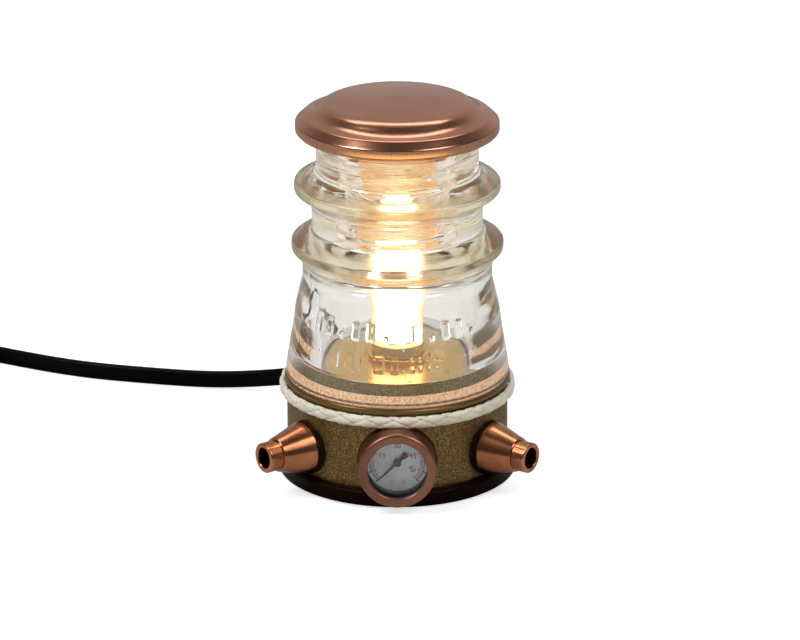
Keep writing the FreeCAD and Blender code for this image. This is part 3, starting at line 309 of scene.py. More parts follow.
def rubber(name, colour, roughness, grain, depth, gloss=0.5):
    """Rubber, plastic, enamel or ink: colour, roughness, grain per metre, its depth and gloss."""
    material, tree, bsdf = shader(name)
    cloud = noise(tree, 60)
    fine = noise(tree, grain)
    feed(bsdf, Specular_IOR_Level=gloss,
         Base_Color=ramp(tree, cloud, [(0.3, tinted(colour, 0.8)), (0.7, tinted(colour, 1.3))]),
         Roughness=spread(tree, fine, roughness - 0.05, roughness + 0.1),
         Normal=bump(tree, fine, depth, 0.1 * MM))
    return material


def metal(name, colour, dark, roughness):
    """Bare metal with tarnish patches and a fine grain."""
    material, tree, bsdf = shader(name)
    cloud = noise(tree, 35, 5)
    feed(bsdf, Metallic=1.0,
         Base_Color=ramp(tree, cloud, [(0.35, dark), (0.62, colour)]),
         Roughness=spread(tree, cloud, roughness + 0.08, roughness - 0.04),
         Normal=bump(tree, noise(tree, 2500), 0.05, 0.05 * MM))
    return material


def turned_metal(name, colour, dark, roughness):
    """Bare metal with fine tool lines round the nozzles' axes, to both sides of the front."""
    material, tree, bsdf = shader(name)
    axes = object_axes(tree)
    beside = arithmetic(tree, "ABSOLUTE", axes["X"])
    slope = -math.tan(math.radians(NOZZLE_SPREAD_DEG))
    reach = arithmetic(tree, "MULTIPLY_ADD", beside, slope, axes["Y"])
    along = feed(add(tree, "ShaderNodeCombineXYZ"), X=reach)
    rings = noise(tree, 2600, 2.0, 0.5, along.outputs[0])
    cloud = noise(tree, 90, 4)
    feed(bsdf, Metallic=1.0,
         Base_Color=ramp(tree, cloud, [(0.35, dark), (0.62, colour)]),
         Roughness=spread(tree, cloud, roughness + 0.05, roughness - 0.03),
         Normal=bump(tree, rings, 0.12, 0.05 * MM))
    return material


def bronze_paint(name, colour, dark, sparkle):
    """Grained bronze paint: dark ground with brighter metallic flakes."""
    material, tree, bsdf = shader(name)
    flakes = noise(tree, 1600, 2, 0.7)
    feed(bsdf, Metallic=0.85, Specular_IOR_Level=0.15,
         Base_Color=ramp(tree, flakes, [(0.36, dark), (0.52, colour), (0.7, sparkle)]),
         Roughness=spread(tree, flakes, 0.6, 0.34),
         Normal=bump(tree, flakes, 0.35, 0.15 * MM))
    return material


def plate_bronze():
    """Top plate: dark bronze outside, pinkish gold under the foot of the glass where the bulb's
    warm light is painted in, olive inside.
    """
    material, tree, bsdf = shader("plate_bronze")
    radius, _ = lathe_places(tree)
    grain = noise(tree, 900, 3)
    # Painted warm light of the bulb, coming through the glass's foot.
    painted_glow_rose = ramp(tree, grain, [(0.35, (0.5, 0.28, 0.15)), (0.65, (0.85, 0.6, 0.4))])
    olive = ramp(tree, grain, [(0.35, (0.10, 0.07, 0.02)), (0.65, (0.24, 0.19, 0.08))])
    outer = between(tree, radius, 45.6 * MM, 46.0 * MM, 0, 1)
    middle = between(tree, radius, 37.0 * MM, 38.2 * MM, 0, 1)
    inner_colour = mixed_colour(tree, middle, olive, painted_glow_rose)
    feed(bsdf, Metallic=0.9,
         Base_Color=mixed_colour(tree, outer, inner_colour, (0.20, 0.125, 0.045)),
         Roughness=spread(tree, grain, 0.4, 0.26),
         Normal=bump(tree, grain, 0.1, 0.1 * MM))
    return material


def cup_bronze():
    """Low disc over the socket: gold on top, where the bulb's light is painted in, a painted pale
    grey sheen at the back, and painted shade in dark olive down its side.
    """
    material, tree, bsdf = shader("cup_bronze")
    _, height = lathe_places(tree)
    # Painted shade: the side of the disc is dark olive while the top is gold.
    side = between(tree, height, SEAT_Z + 3.4 * MM, SEAT_Z + 4.7 * MM, 1, 0)
    # The gold top is the bulb's light painted into the colour.
    gold = ramp(tree, noise(tree, 35, 5), [(0.35, (0.55, 0.33, 0.09)), (0.62, (0.68, 0.44, 0.13))])
    olive = ramp(tree, noise(tree, 1100, 3),
                 [(0.35, (0.09, 0.065, 0.018)), (0.65, (0.22, 0.18, 0.08))])
    # Painted pale grey sheen on the back of the top.
    painted_sheen_back = between(tree, object_axes(tree)["Y"], 4 * MM, 26 * MM, 0, 0.8)
    top = mixed_colour(tree, painted_sheen_back, gold, (0.66, 0.62, 0.52))
    feed(bsdf, Metallic=1.0, Base_Color=mixed_colour(tree, side, top, olive),
         Roughness=spread(tree, side, 0.25, 0.5))
    return material


def cap_copper(low):
    """Satin copper, speckled, with a painted orange glow of the bulb's light near the lip."""
    material, tree, bsdf = shader("cap_satin_copper")
    _, height = lathe_places(tree)
    cloud = noise(tree, 35, 5)
    fine = noise(tree, 1500, 2, 0.7)
    plain = ramp(tree, cloud, [(0.35, (0.53, 0.23, 0.14)), (0.62, (0.63, 0.295, 0.185))])
    speck = ramp(tree, fine, [(0.36, (0.46, 0.21, 0.12)), (0.64, (0.68, 0.36, 0.22))])
    band = between(tree, height, low + 3.6 * MM, low + 4.4 * MM, 1, 0)
    # Painted glow of the bulb's light on the lip, strongest where the lip is seen face on.
    lip = between(tree, height, low + 0.8 * MM, low + 3.6 * MM, 1, 0)
    ahead = between(tree, slant_of(tree), 0.03, 0.26, 1, 0)
    painted_lip_glow = arithmetic(tree, "MULTIPLY", lip, ahead)
    smooth, grained = spread(tree, cloud, 0.26, 0.17), spread(tree, fine, 0.36, 0.44)
    feed(bsdf, Metallic=1.0, Base_Color=mixed_colour(tree, band, plain, speck),
         Roughness=mixed(tree, band, smooth, grained),
         Normal=bump(tree, fine, 0.06, 0.05 * MM),
         Emission_Color=(1.0, 0.42, 0.07),
         Emission_Strength=arithmetic(tree, "MULTIPLY", painted_lip_glow, 1.3))
    return material


def ivory_leather():
    material, tree, bsdf = shader("ivory_leather")
    colour = ramp(tree, noise(tree, 120, 4),
                  [(0.3, (0.78, 0.72, 0.55)), (0.65, (0.95, 0.91, 0.75))])
    feed(bsdf, Base_Color=colour, Roughness=0.45,
         Normal=bump(tree, noise(tree, 1400), 0.2, 0.1 * MM))
    return material


def window_glass():
    material, _, bsdf = shader("window_glass")
    feed(bsdf, Base_Color=(0.99, 0.99, 0.99), Transmission_Weight=1.0, Roughness=0.0, IOR=1.5)
    return material


def pressed_glass():
    """Old clear glass: olive where the flanges are thick, partly its tint and partly a painted
    reflection of the bronze and the lamp's light; a painted glow of the bulb's light in the pin
    hole, in colour and a faint emission; drawn lines in the upper half."""
    material, tree, bsdf = shader("pressed_glass")
    radius, height = lathe_places(tree)
    upper = between(tree, height, SEAT_Z + 50 * MM, SEAT_Z + 54 * MM, 0, 1)
    flange = arithmetic(tree, "MULTIPLY", between(tree, radius, 35.6 * MM, 39 * MM, 0, 1), upper)
    hole = between(tree, radius, 17.4 * MM, 18.4 * MM, 1, 0)
    plain = mixed_colour(tree, upper, (0.965, 0.965, 0.94), (0.95, 0.90, 0.81))
    # Olive at the flanges: partly the glass's tint, partly a painted reflection of the bronze and
    # the lamp's light.
    olive = mixed_colour(tree, flange, plain, (0.78, 0.66, 0.40))
    # Painted glow of the bulb's light in the pin hole, more orange where it is seen at a slant.
    painted_glow_amber = ramp(tree, slant_of(tree), [
        (0.12, (0.97, 0.82, 0.60)), (0.45, (1.0, 0.52, 0.18)), (0.95, (1.0, 0.96, 0.88)),
    ])
    stretch = feed(add(tree, "ShaderNodeMapping"), Vector=object_place(tree), Scale=(9, 9, 420))
    lines = noise(tree, 1.0, 2.0, 0.5, stretch.outputs[0])
    waves = bump(tree, noise(tree, 55, 1.5, 0.4), 0.25, 1.2 * MM)
    feed(bsdf, Transmission_Weight=0.97, IOR=1.5,
         Base_Color=mixed_colour(tree, hole, olive, painted_glow_amber),
         Roughness=spread(tree, flange, 0.0, 0.2),
         # Painted glow: a faint emission in the upper pin hole.
         Emission_Color=(1.0, 0.5, 0.14),
         Emission_Strength=arithmetic(tree, "MULTIPLY", hole, spread(tree, upper, 0.0, 0.1)),
         Normal=bump(tree, arithmetic(tree, "MULTIPLY", lines, upper), 0.5, 0.5 * MM, waves))
    return material


def ground_foot(name, dark, light, painted_glow, clear=0.0, fade=None):
    """Ground face of the glass's foot, painted with the metal that it stands on and the bulb's warm
    light on it, as colour and emission. With fade, it turns from clear (a share) to plain glass
    where it is seen at a slant."""
    material, tree, bsdf = shader(name)
    colour = ramp(tree, noise(tree, 1300, 2, 0.7), [(0.38, dark), (0.62, light)])
    feed(bsdf, Emission_Color=colour)
    if fade is None:
        feed(bsdf, Base_Color=colour, Transmission_Weight=clear, Roughness=0.5,
             Emission_Strength=painted_glow)
        return material
    slant = between(tree, slant_of(tree), *fade, 0, 1)
    feed(bsdf, Base_Color=mixed_colour(tree, slant, colour, (0.94, 0.93, 0.88)),
         Transmission_Weight=spread(tree, slant, clear, 1.0),
         Roughness=spread(tree, slant, 0.5, 0.05),
         Emission_Strength=spread(tree, slant, painted_glow, 0.0))
    return material


def glowing(name, colour, strength):
    """Lit frosted glass, nearly white where it is seen face on and amber at its edge."""
    material, tree, bsdf = shader(name)
    light = ramp(tree, slant_of(tree, 0.3), [
        (0.24, (1.0, 0.9, 0.72)), (0.42, (0.27, 0.15, 0.05)),
        (0.62, (0.16, 0.07, 0.015)), (0.85, (0.14, 0.05, 0.01)),
    ])
    feed(bsdf, Base_Color=colour, Roughness=0.5, Emission_Color=light, Emission_Strength=strength)
    return material


# ---------------------------------------------------------------- mesh helpers
def mesh_object(name, vertices, faces, smooth=True):
    mesh = bpy.data.meshes.new(name)
    mesh.from_pydata([tuple(v) for v in vertices], [], faces)
    mesh.validate()
    mesh.polygons.foreach_set("use_smooth", [smooth] * len(mesh.polygons))
    mesh.update()
    piece = bpy.data.objects.new(name, mesh)
    bpy.context.collection.objects.link(piece)
    return piece


def rounded(points, steps=7):
    """Polyline (r, z) through (r, z, corner radius) points, with arcs at the rounded corners."""
    line = []
    for i, (r, z, radius) in enumerate(points):
        p = Vector((r, z))
        if radius <= 0 or i in (0, len(points) - 1):
            line.append(p)
            continue
        before = Vector(points[i - 1][:2]) - p
        after = Vector(points[i + 1][:2]) - p
        half = before.angle(after) / 2
        reach = min(radius / math.tan(half), 0.49 * min(before.length, after.length))
        radius = reach * math.tan(half)
        before.normalize()
        after.normalize()
        centre = p + (before + after).normalized() * (radius / math.sin(half))
        start, end = p + before * reach - centre, p + after * reach - centre
        turn = start.angle_signed(end)
        for k in range(steps + 1):
            a = -turn * k / steps
            line.append(centre + Vector((start.x * math.cos(a) - start.y * math.sin(a),
                                         start.x * math.sin(a) + start.y * math.cos(a))))
    return line


def divided(line, step):
    """The same polyline with no run longer than step."""
    fine = [line[0]]
    for p, q in zip(line, line[1:]):
        count = max(1, math.ceil((q - p).length / step))
        fine += [p.lerp(q, k / count) for k in range(1, count + 1)]
    return fine


def lathe(name, line, theta, shape, extra):
    """Closed solid turned about Z from a polyline that starts and ends on the axis.
    shape moves the arrays (r, z) at the angles theta; extra is more vertices and faces."""
    segments = len(theta)
    r = np.array([p[0] for p in line])
    z = np.array([p[1] for p in line])
    big_r = np.repeat(r[:, None], segments, 1)
    big_z = np.repeat(z[:, None], segments, 1)
    big_t = np.repeat(theta[None, :], len(r), 0)
    big_r, big_z = shape(big_r, big_z, big_t)
    places = np.stack([big_r * np.cos(big_t), big_r * np.sin(big_t), big_z], 2)
    places = [places[0, 0]] + list(places[1:-1].reshape(-1, 3)) + [places[-1, 0]]
    last = len(places) - 1
    faces = []
    for j in range(len(r) - 1):
        a, b = 1 + (j - 1) * segments, 1 + j * segments
        for i in range(segments):
            k = (i + 1) % segments
            if j == 0:
                faces.append((0, b + k, b + i))
            elif j == len(r) - 2:
                faces.append((a + i, a + k, last))
            else:
                faces.append((a + i, a + k, b + k, b + i))
    more_places, more_faces = extra
    faces += [tuple(last + 1 + k for k in face) for face in more_faces]
    return mesh_object(name, places + more_places, faces)


# ---------------------------------------------------------------- glass insulator
# Half sections: (radius, height above the seat, rounding), in mm
MOUTH_R = 38.6
GLASS_OUTSIDE = [
    (MOUTH_R, 0.0, 0.8), (46.2, 0.0, 1.4), (46.1, 3.6, 4), (43.4, 20.0, 30), (42.0, 29.6, 20),
    (39.1, 41.6, 8), (39.1, 49.8, 3.0), (43.6, 54.6, 1.65), (43.6, 58.0, 1.65),
    (35.1, 62.9, 3.0), (35.1, 74.7, 3.0), (42.3, 79.6, 1.65), (42.3, 83.0, 1.65),
    (33.3, 87.9, 3.0), (33.3, 111.0, 4.0), (0, 111.0, 0),
]
GLASS_INSIDE = [
    (0, 99.0, 0), (15.5, 99.0, 5.0), (17.0, 52.0, 2.0), (31.4, 47.0, 9.0), (33.6, 25.0, 40.0),
    (33.0, 6.9, 0.5), (MOUTH_R, 0.0, 0.8),
]
SKIRT_CORNERS = 6
SKIRT_STEP, UPPER_STEP, INSIDE_STEP = 0.55, 2.0, 0.6
CLEAR, PAINTED_ROSE_FOOT, PAINTED_OLIVE_BEVEL, PAINTED_TAN_FOOT = range(4)
# Zones of the foot painted with reflection, glow and shade: (material, from, to, height), out from
# the mouth's edge and up in mm
FOOT_ZONES = [
    (PAINTED_ROSE_FOOT, -2.4, 0.2, 2.6), (PAINTED_ROSE_FOOT, 6.4, 99, 1.3), (PAINTED_TAN_FOOT, 0, 8, 0.3),
    (PAINTED_OLIVE_BEVEL, -6, 0, 6.7),
]
HOLE_R = 17.5
THREAD_PITCH = 6.35
THREAD_DEPTH = 0.9
THREAD_LOW, THREAD_HIGH = 53.5, 94.0
THREAD_FADE = 3
# Drip beads round the foot, unevenness of the pressing outside and inside, bubbles in the wall
BEADS = 72
BEAD_H = 2.2
BEAD_DEPTH = 0.3
WAVE_DEPTH = 0.05
FOLD_DEPTH = 0.15
CAVITY_R = 19
CAVITY_LOW, CAVITY_HIGH = 7.5, 49
SEEDS = 45
SEED_HEIGHTS = (8, 34)
SEED_SIZES = (0.18, 0.42)
SEED_DEPTH = 1.4
SEED_ANGLES = (-160, -20)
# Line between the outer wall and the inner one: its radii at some heights
SPLIT_H = [0, 41, 47, 52, 111]
SPLIT_R = [42.5, 35.6, 34.9, 26, 26]
# Degrees from the front between which the marks lie, and how many steps front and back have
MARKS_FROM, MARKS_TO = -68, 52
FRONT_STEPS, BACK_STEPS = 330, 160
MARK_WALL_R = 43
MARK_H = 0.42
MARK_SIDE_W, MARK_END_W = 0.8, 1.1
MARKS_LOW, MARKS_HIGH = 2, 37
# Raised marks of the mould: (degrees from the front, half width, low, high), in mm
UPPER_MARKS = [(-58 + 8.6 * i, 1.5 if i % 3 else 0.8, 27.5, 34.0 if i % 3 else 29.5)
               for i in range(13)]
LOWER_MARKS = [(-35 + 8.4 * i, 1.9 if i % 2 else 1.2, 15.0, 21.5) for i in range(5)]
DOT_MARKS = [(8 + 4.2 * i, 0.7, low, low + 1.4) for i in range(4) for low in (15.5, 19.5)]


def angle_grid():
    """Angles round the glass in radians, closer together where the marks are at the front."""
    front = np.linspace(MARKS_FROM, MARKS_TO, FRONT_STEPS + 1)
    back = np.linspace(MARKS_TO, MARKS_FROM + 360, BACK_STEPS + 1)[1:-1]
    return np.radians(np.concatenate([front, back]) - 90)


def soft_step(value, edge, width):
    share = np.clip((value - edge) / width + 0.5, 0, 1)
    return share * share * (3 - 2 * share)


def raised_marks(r, z, theta):
    """Height of the pressed marks on the skirt's outer wall."""
    angle = (np.degrees(theta) + 90 + 180) % 360 - 180
    height = np.zeros_like(r)
    for centre, half, low, high in UPPER_MARKS + LOWER_MARKS + DOT_MARKS:
        across = np.abs(angle - centre) * np.pi / 180 * MARK_WALL_R
        inside = (1 - soft_step(across, half, MARK_SIDE_W)) * soft_step(z, low, MARK_END_W)
        inside = inside * (1 - soft_step(z, high, MARK_END_W))
        height = np.maximum(height, inside)
    return height * MARK_H


def glass_shape(r, z, theta):
    """Thread in the pin hole, slow waves, raised marks and drip beads, all in millimetres."""
    hole = (r < HOLE_R) & (r > 1) & (z > THREAD_LOW) & (z < THREAD_HIGH)
    turn = (z / THREAD_PITCH - theta / (2 * np.pi)) % 1.0
    crest = 0.5 + 0.5 * np.cos(2 * np.pi * turn)
    fade = (np.clip((z - THREAD_LOW) / THREAD_FADE, 0, 1)
            * np.clip((THREAD_HIGH - z) / THREAD_FADE, 0, 1))
    r = r - hole * fade * THREAD_DEPTH * crest ** 1.6
    outside = r > np.interp(z, SPLIT_H, SPLIT_R)
    waves = (np.sin(3 * theta + z / 7.0) + 0.7 * np.sin(5 * theta - z / 4.5 + 1.3)
             + 0.5 * np.sin(9 * theta + z / 3.1 + 0.4))
    skirt = outside & (z > MARKS_LOW) & (z < MARKS_HIGH)
    r = r + outside * WAVE_DEPTH * waves + skirt * raised_marks(r, z, theta)
    cavity = ~outside & (r > CAVITY_R) & (z < CAVITY_HIGH) & (z > CAVITY_LOW)
    folds = np.sin(2 * theta + 0.7 + z / 16) + 0.6 * np.sin(5 * theta - z / 9 + 2.0)
    r = r + cavity * FOLD_DEPTH * folds * np.clip(z / 6, 0, 1)
    foot = outside & (z < BEAD_H)
    beads = 0.5 + 0.5 * np.cos(BEADS * theta)
    r = r + foot * BEAD_DEPTH * beads * np.sin(np.pi * np.clip(z / BEAD_H, 0, 1))
    return r, z


def seed_bubbles(count, raise_z):
    """Small bubbles in the skirt's wall: inward facing balls, as vertices and faces."""
    dice = random.Random(7)
    ball = bpy.data.meshes.new("ball")
    shape = bmesh.new()
    bmesh.ops.create_icosphere(shape, subdivisions=2, radius=1.0)
    shape.to_mesh(ball)
    shape.free()
    unit = [v.co.copy() for v in ball.vertices]
    loops = [tuple(reversed(f.vertices)) for f in ball.polygons]
    bpy.data.meshes.remove(ball)
    places, faces = [], []
    for _ in range(count):
        z = dice.uniform(*SEED_HEIGHTS)
        wall_out, wall_in = 46.1 - 0.13 * z, MOUTH_R - 0.17 * z
        r = dice.uniform(wall_in + SEED_DEPTH, wall_out - SEED_DEPTH)
        a = math.radians(dice.uniform(*SEED_ANGLES))
        size = dice.uniform(*SEED_SIZES)
        centre = Vector((r * math.cos(a), r * math.sin(a), z + raise_z))
        first = len(places)
        places += [(centre + Vector((v.x, v.y, v.z * 1.5)) * size) * MM for v in unit]
        faces += [tuple(first + k for k in loop) for loop in loops]
    return places, faces


def foot_material(outwards, height):
    """Place of a face's material in the glass's list, by how far it lies out from the mouth's
    edge and up from the seat, in mm."""
    for material, start, end, top in FOOT_ZONES:
        if start < outwards <= end and height < top:
            return material
    return CLEAR


def make_glass():
    skirt_wall = divided(rounded(GLASS_OUTSIDE[:SKIRT_CORNERS]), SKIRT_STEP)
    upper = divided(rounded(GLASS_OUTSIDE[SKIRT_CORNERS - 1:]), UPPER_STEP)
    inside = divided(rounded(GLASS_INSIDE), INSIDE_STEP)
    raise_z = SEAT_Z / MM

    def shape(r, z, theta):
        r, z = glass_shape(r, z, theta)
        return r * MM, (z + raise_z) * MM

    glass = lathe("insulator_glass", inside + skirt_wall[1:] + upper[1:], angle_grid(), shape,
                  seed_bubbles(SEEDS, raise_z))
    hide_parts("glass_insulator")
    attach(glass, "glass")
    # The foot's materials after the first are painted reflection of the plate, glow of the bulb's
    # light and shade.
    materials = [
        pressed_glass(),
        ground_foot("foot_rose_painted_glow", (0.62, 0.33, 0.17), (0.95, 0.66, 0.42), 0.25, 0.01, (0.42, 0.72)),
        ground_foot("bevel_olive_painted_shade", (0.07, 0.042, 0.004), (0.25, 0.17, 0.035), 0.03, 0.1,
                    (0.28, 0.5)),
        ground_foot("foot_tan_painted_reflection", (0.44, 0.34, 0.17), (0.72, 0.58, 0.35), 0.22),
    ]
    for material in materials:
        glass.data.materials.append(material)
    for face in glass.data.polygons:
        height = (face.center.z - SEAT_Z) / MM
        face.material_index = foot_material(face.center.xy.length / MM - MOUTH_R, height)


# ---------------------------------------------------------------- cap
# Half section: (radius, height above the lip, rounding), in mm
CAP_OUTSIDE = [
    (39.5, 0.0, 0), (40.7, 0.0, 0.3), (41.7, 1.0, 0.8), (41.7, 4.4, 1.0), (38.6, 7.3, 1.8),
    (34.2, 8.6, 8.0), (30.2, 12.3, 8.0), (16.0, 14.2, 80.0), (0, 14.9, 0),
]
CAP_UNDER = [
    (0, 13.65, 0), (16.0, 12.95, 80.0), (29.4, 11.1, 6.0), (33.5, 7.5, 5.0), (37.9, 6.2, 1.5),
    (40.5, 3.7, 1.0), (40.5, 1.4, 0.5), (39.5, 0.0, 0),
]
CAP_SEGMENTS = 256
CAP_UNDER_STEP, CAP_OUTSIDE_STEP = 2.0, 0.8


def make_cap():
    line = (divided(rounded(CAP_UNDER), CAP_UNDER_STEP)
            + divided(rounded(CAP_OUTSIDE), CAP_OUTSIDE_STEP)[1:])
    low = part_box("cap")[0].z
    theta = np.linspace(0, 2 * np.pi, CAP_SEGMENTS + 1)[:-1]
    cap = lathe("spun_cap", line, theta, lambda r, z, t: (r * MM, z * MM + low), ([], []))
    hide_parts("cap")
    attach(cap, "glass")
    cap.data.materials.append(cap_copper(low))


# ---------------------------------------------------------------- braided band
BRAID_LEAVES = 27
BRAID_START = math.radians(4.6 - 90)
STRAND_COVER = 0.94
STRAND_THICK = 0.7 * MM
STRAND_RISE = 0.3 * MM
STRAND_DOME = 0.15 * MM
STRAND_STEPS = 2400
STRAND_SIDES = 18
WEAVE_SHARPNESS = 2.2
STRAND_WIDE_POWER, STRAND_THICK_POWER = 0.75, 0.8
OVAL_POWER = 0.85


def oval(depth, height):
    """Arc length, points and outward normals round an oval, from the back over the front."""
    a = np.linspace(-np.pi, np.pi, 721)
    x = depth * np.sign(np.cos(a)) * np.abs(np.cos(a)) ** OVAL_POWER
    z = height * np.sign(np.sin(a)) * np.abs(np.sin(a)) ** OVAL_POWER
    run = np.concatenate([[0], np.cumsum(np.hypot(np.diff(x), np.diff(z)))])
    slope_x, slope_z = np.gradient(x), np.gradient(z)
    steep = np.maximum(np.hypot(slope_x, slope_z), 1e-12)
    return run, x, z, slope_z / steep, -slope_x / steep


def make_braid():
    """Two flat leather strands, each twice round the lamp, plaited as one oval band."""
    ring_r = BRAID_IN + BRAID_HALF_T
    layer = STRAND_THICK / 2 + STRAND_RISE + STRAND_DOME
    run, oval_x, oval_z, normal_x, normal_z = oval(BRAID_HALF_T - layer, BRAID_HALF_H - layer)
    length = run[-1]
    wraps = BRAID_LEAVES / 2
    lean = math.atan(length * wraps / (2 * np.pi * ring_r))
    width = STRAND_COVER * np.pi * ring_r / wraps * math.sin(lean)
    samples, around = STRAND_STEPS, STRAND_SIDES
    s = np.arange(samples) * (4 * np.pi / samples)
    a = np.arange(around) * (2 * np.pi / around)
    across = np.sign(np.cos(a)) * np.abs(np.cos(a)) ** STRAND_WIDE_POWER * width / 2
    thick = np.sign(np.sin(a)) * np.abs(np.sin(a)) ** STRAND_THICK_POWER * STRAND_THICK / 2
    thick = thick + STRAND_DOME * (1 - (2 * across / width) ** 2)
    places, faces = [], []
    for direction in (1, -1):
        lead = across * math.cos(lean) * 2 * np.pi / length
        phase = direction * wraps * s[:, None] + np.pi / 4 + lead
        turned = s[:, None] - direction * math.sin(lean) * across / ring_r
        other = np.cos(phase + direction * wraps * turned - np.pi / 4)
        height = thick - direction * STRAND_RISE * np.tanh(WEAVE_SHARPNESS * other)
        where = ((phase + np.pi) % (2 * np.pi)) * length / (2 * np.pi)
        radius = ring_r + np.interp(where, run, oval_x) + np.interp(where, run, normal_x) * height
        level = BRAID_Z + np.interp(where, run, oval_z) + np.interp(where, run, normal_z) * height
        turned = turned + BRAID_START
        strand = np.stack([radius * np.cos(turned), radius * np.sin(turned), level], 2)
        places.append(strand.reshape(-1, 3))
        first = 0 if direction == 1 else samples * around
        for j in range(samples):
            for i in range(around):
                n, m = (j + 1) % samples, (i + 1) % around
                faces.append((first + j * around + i, first + j * around + m,
                              first + n * around + m, first + n * around + i))
    braid = mesh_object("leather_braid", np.concatenate(places), faces)
    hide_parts("braid_band")
    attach(braid, "base")
    braid.data.materials.append(ivory_leather())


# ---------------------------------------------------------------- dial print
SWEEP_START = -135.0
SWEEP = 270.0
DIVISIONS = 60
BLACK_INK = (0.02, 0.02, 0.02)
RED_INK = (0.5, 0.03, 0.05)
ARC_STEP = 3.0
NUMBER_R = 6.8
PRINT_GAP = 0.03 * MM
NUMBERS = ((-67.5, "15"), (0.0, "30"), (67.5, "45"), (118.0, "60"))


def dial_point(radius, degrees):
    """Point just in front of the dial, by radius in mm and degrees clockwise from the top."""
    a = math.radians(degrees)
    across, up = radius * MM * math.sin(a), radius * MM * math.cos(a)
    return Vector((across, DIAL_LOW.y - PRINT_GAP, DIAL_Z + up))


def printed(name, colour, marks):
    """Flat print on the dial from four-cornered marks of (radius, degrees)."""
    vertices, faces = [], []
    for mark in marks:
        faces.append(tuple(range(len(vertices), len(vertices) + 4)))
        vertices += [dial_point(radius, degrees) for radius, degrees in mark]
    piece = mesh_object(name, vertices, faces, False)
    piece.data.materials.append(rubber(name + "_ink", colour, 0.5, 900, 0.02))
    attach(piece, "base")


def ticks(inner, outer, width, step):
    """Radial marks of a width in millimetres, one in every step of the scale's divisions."""
    marks = []
    for i in range(0, DIVISIONS + 1, step):
        a = SWEEP_START + SWEEP * i / DIVISIONS
        near, far = math.degrees(width / 2 / inner), math.degrees(width / 2 / outer)
        marks.append(((inner, a - near), (inner, a + near), (outer, a + far), (outer, a - far)))
    return marks


def arc_line(radius, width):
    """Line along the scale, as short marks of a width in millimetres."""
    marks = []
    for i in range(round(SWEEP / ARC_STEP)):
        a, b = SWEEP_START + ARC_STEP * i, SWEEP_START + ARC_STEP * (i + 1)
        marks.append(((radius, a), (radius, b), (radius + width, b), (radius + width, a)))
    return marks


def make_dial_print():
    printed("scale_outer", BLACK_INK,
            arc_line(10.9, 0.22) + ticks(11.0, 11.7, 0.26, 1) + ticks(11.0, 12.3, 0.5, 5))
    printed("scale_inner", RED_INK,
            arc_line(10.2, 0.2) + ticks(9.6, 10.3, 0.24, 1) + ticks(9.0, 10.3, 0.42, 5))
    red = rubber("number_ink", RED_INK, 0.5, 900, 0.02)
    for degrees, digits in NUMBERS:
        data = bpy.data.curves.new("number_" + digits, "FONT")
        data.body = digits
        data.size = 3.0 * MM
        data.offset = 0.06 * MM
        data.align_x = "CENTER"
        data.align_y = "CENTER"
        data.materials.append(red)
        number = bpy.data.objects.new("number_" + digits, data)
        bpy.context.collection.objects.link(number)
        number.location = dial_point(NUMBER_R, degrees)
        tilt = math.radians(degrees - 60) if degrees > 90 else 0
        number.rotation_euler = (math.pi / 2, tilt, 0)
        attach(number, "base")


# ---------------------------------------------------------------- finishes of the CAD pieces
def dress_cad():
    """Give each CAD node that stays in view a material in place of its own."""
    looks = [
        (turned_metal("nozzle_copper", (0.58, 0.235, 0.115), (0.42, 0.16, 0.07), 0.2),
         ["nozzle_left", "nozzle_right"]),
        (metal("gauge_copper", (0.37, 0.17, 0.11), (0.26, 0.11, 0.068), 0.34), ["gauge_housing"]),
        (bronze_paint("body_bronze", (0.22, 0.14, 0.048), (0.10, 0.06, 0.02), (0.45, 0.33, 0.14)),
         ["base_shell"]),
        (bronze_paint("foot_dark", (0.008, 0.003, 0.0012), (0.004, 0.0015, 0.0006),
                      (0.025, 0.009, 0.003)), ["foot_disc"]),
        (plate_bronze(), ["top_plate"]),
        (cup_bronze(), ["socket_cup", "socket_ring_nut"]),
        (metal("plain_brass", (0.75, 0.58, 0.3), (0.6, 0.44, 0.2), 0.35),
         ["bulb_base", "socket_shell", "socket_contact", "socket_terminals", "socket_hickey",
          "movement_front_plate", "movement_back_plate", "pointer_arbor", "sector_gear",
          "gauge_link", "bourdon_tube", "gauge_stem", "plug_blades"]),
        (metal("zinc_steel", (0.6, 0.6, 0.6), (0.45, 0.45, 0.45), 0.4),
         ["nipple", "nipple_nuts", "nipple_washers", "dial_screws"]),
        (rubber("black_enamel", (0.004, 0.004, 0.0035), 0.4, 800, 0.05, 0.15),
         ["gauge_bezel", "gauge_case", "gauge_pointer", "foot_pad"]),
        (rubber("cap_felt", (0.62, 0.52, 0.42), 0.8, 900, 0.3), ["cap_pad"]),
        # Near-black rubber grommets, which also stand in for the shade in the gap round each
        # nozzle.
        (rubber("grommet_rubber", (0.012, 0.002, 0.0015), 0.35, 800, 0.1, 0.3),
         ["nozzle_grommet_left", "nozzle_grommet_right"]),
        (rubber("plug_plastic", (0.012, 0.012, 0.013), 0.4, 800, 0.1),
         ["plug_body", "strain_relief", "lead_live", "lead_neutral"]),
        (rubber("socket_phenolic", (0.50, 0.32, 0.09), 0.35, 300, 0.05), ["socket_body"]),
        (rubber("dial_white", (0.73, 0.79, 0.765), 0.5, 400, 0.02, 0.3), ["gauge_dial"]),
        (glowing("bulb_glow", (1.0, 0.74, 0.42), 6.0), ["bulb_glass"]),
        (glowing("filament_glow", (1.0, 0.8, 0.5), 20.0), ["bulb_filament"]),
        (window_glass(), ["gauge_window"]),
    ]
    for material, nodes in looks:
        for node in nodes:
            slots = NODES[node].data.materials
            slots.clear()
            slots.append(material)


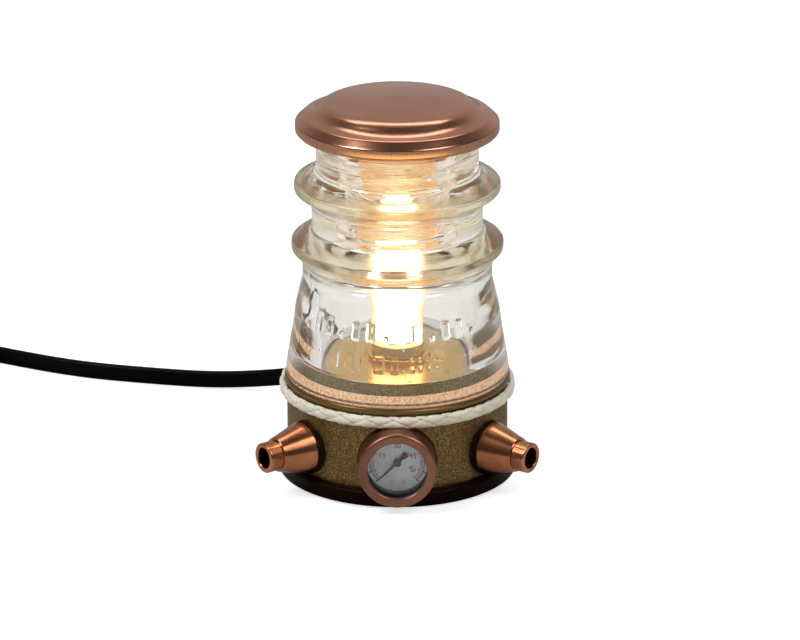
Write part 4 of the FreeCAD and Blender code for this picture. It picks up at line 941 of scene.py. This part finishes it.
# ---------------------------------------------------------------- stage
FLOOR_HALF = 3.0
FLOOR_GREY = 0.58
FLOOR_GLOW = 0.72
FLOOR_GLOW_THROUGH_GLASS = 0.55
DIM = 0.08
LIGHT_AIM = (0, 0, 0.08)


def make_stage():
    corners = [(x * FLOOR_HALF, y * FLOOR_HALF, 0) for x, y in ((-1, -1), (1, -1), (1, 1), (-1, 1))]
    floor = mesh_object("floor", corners, [(0, 1, 2, 3)], False)
    material, tree, bsdf = shader("floor_white")
    path = add(tree, "ShaderNodeLightPath").outputs
    through = spread(tree, path["Is Transmission Ray"], 0.0, FLOOR_GLOW_THROUGH_GLASS)
    seen = arithmetic(tree, "MAXIMUM", path["Is Camera Ray"], through)
    feed(bsdf, Base_Color=(FLOOR_GREY,) * 3, Roughness=0.9, Specular_IOR_Level=0.0,
         Emission_Color=(1, 1, 1),
         Emission_Strength=arithmetic(tree, "MULTIPLY", seen, FLOOR_GLOW))
    floor.data.materials.append(material)


def make_world():
    """White behind the lamp for the camera, pale grey through the glass, and for light and gloss a
    dim room with a bright top and a white sweep behind."""
    world = bpy.data.worlds.new("studio")
    bpy.context.scene.world = world
    world.use_nodes = True
    tree = world.node_tree
    way = add(tree, "ShaderNodeTexCoord").outputs["Generated"]
    back = feed(add(tree, "ShaderNodeSeparateXYZ"), Vector=way).outputs["Y"]
    lean = add(tree, "ShaderNodeVectorMath", operation="DOT_PRODUCT")
    put(lean.inputs[0], way)
    put(lean.inputs[1], (0, 0.45, 0.9))
    top = between(tree, lean.outputs["Value"], 0.85, 1.0, DIM, 0.5)
    sweep = between(tree, back, 0.15, 0.9, DIM, 0.46)
    room = arithmetic(tree, "MAXIMUM", top, sweep)
    through = between(tree, back, -0.7, 0.6, 0.68, 0.8)
    path = add(tree, "ShaderNodeLightPath").outputs
    level = mixed(tree, path["Is Transmission Ray"], room, through)
    strength = mixed(tree, path["Is Camera Ray"], level, 1.0)
    feed(tree.nodes["Background"], Color=(1, 1, 1), Strength=strength)


def area_light(name, place, size, power):
    data = bpy.data.lights.new(name, "AREA")
    data.shape = "RECTANGLE"
    data.size, data.size_y = size
    data.energy = power
    lamp = bpy.data.objects.new(name, data)
    bpy.context.collection.objects.link(lamp)
    lamp.location = place
    lamp.rotation_euler = (Vector(place) - Vector(LIGHT_AIM)).to_track_quat("Z", "Y").to_euler()


def make_lights():
    area_light("key", (-0.95, -0.5, 1.25), (0.45, 0.7), 14)
    area_light("fill", (0.8, -0.65, 1.1), (0.7, 0.7), 8)
    area_light("top", (0, 0.46, 1.2), (1.2, 0.32), 3.4)


# ---------------------------------------------------------------- scene
BOUNCES = 24


def main():
    bpy.context.scene.view_settings.view_transform = "Standard"
    cycles = bpy.context.scene.cycles
    cycles.max_bounces = BOUNCES
    cycles.transmission_bounces = BOUNCES
    make_camera()
    make_cord()
    make_stage()
    make_world()
    make_lights()
    dress_cad()
    make_glass()
    make_cap()
    make_braid()
    make_dial_print()


main()
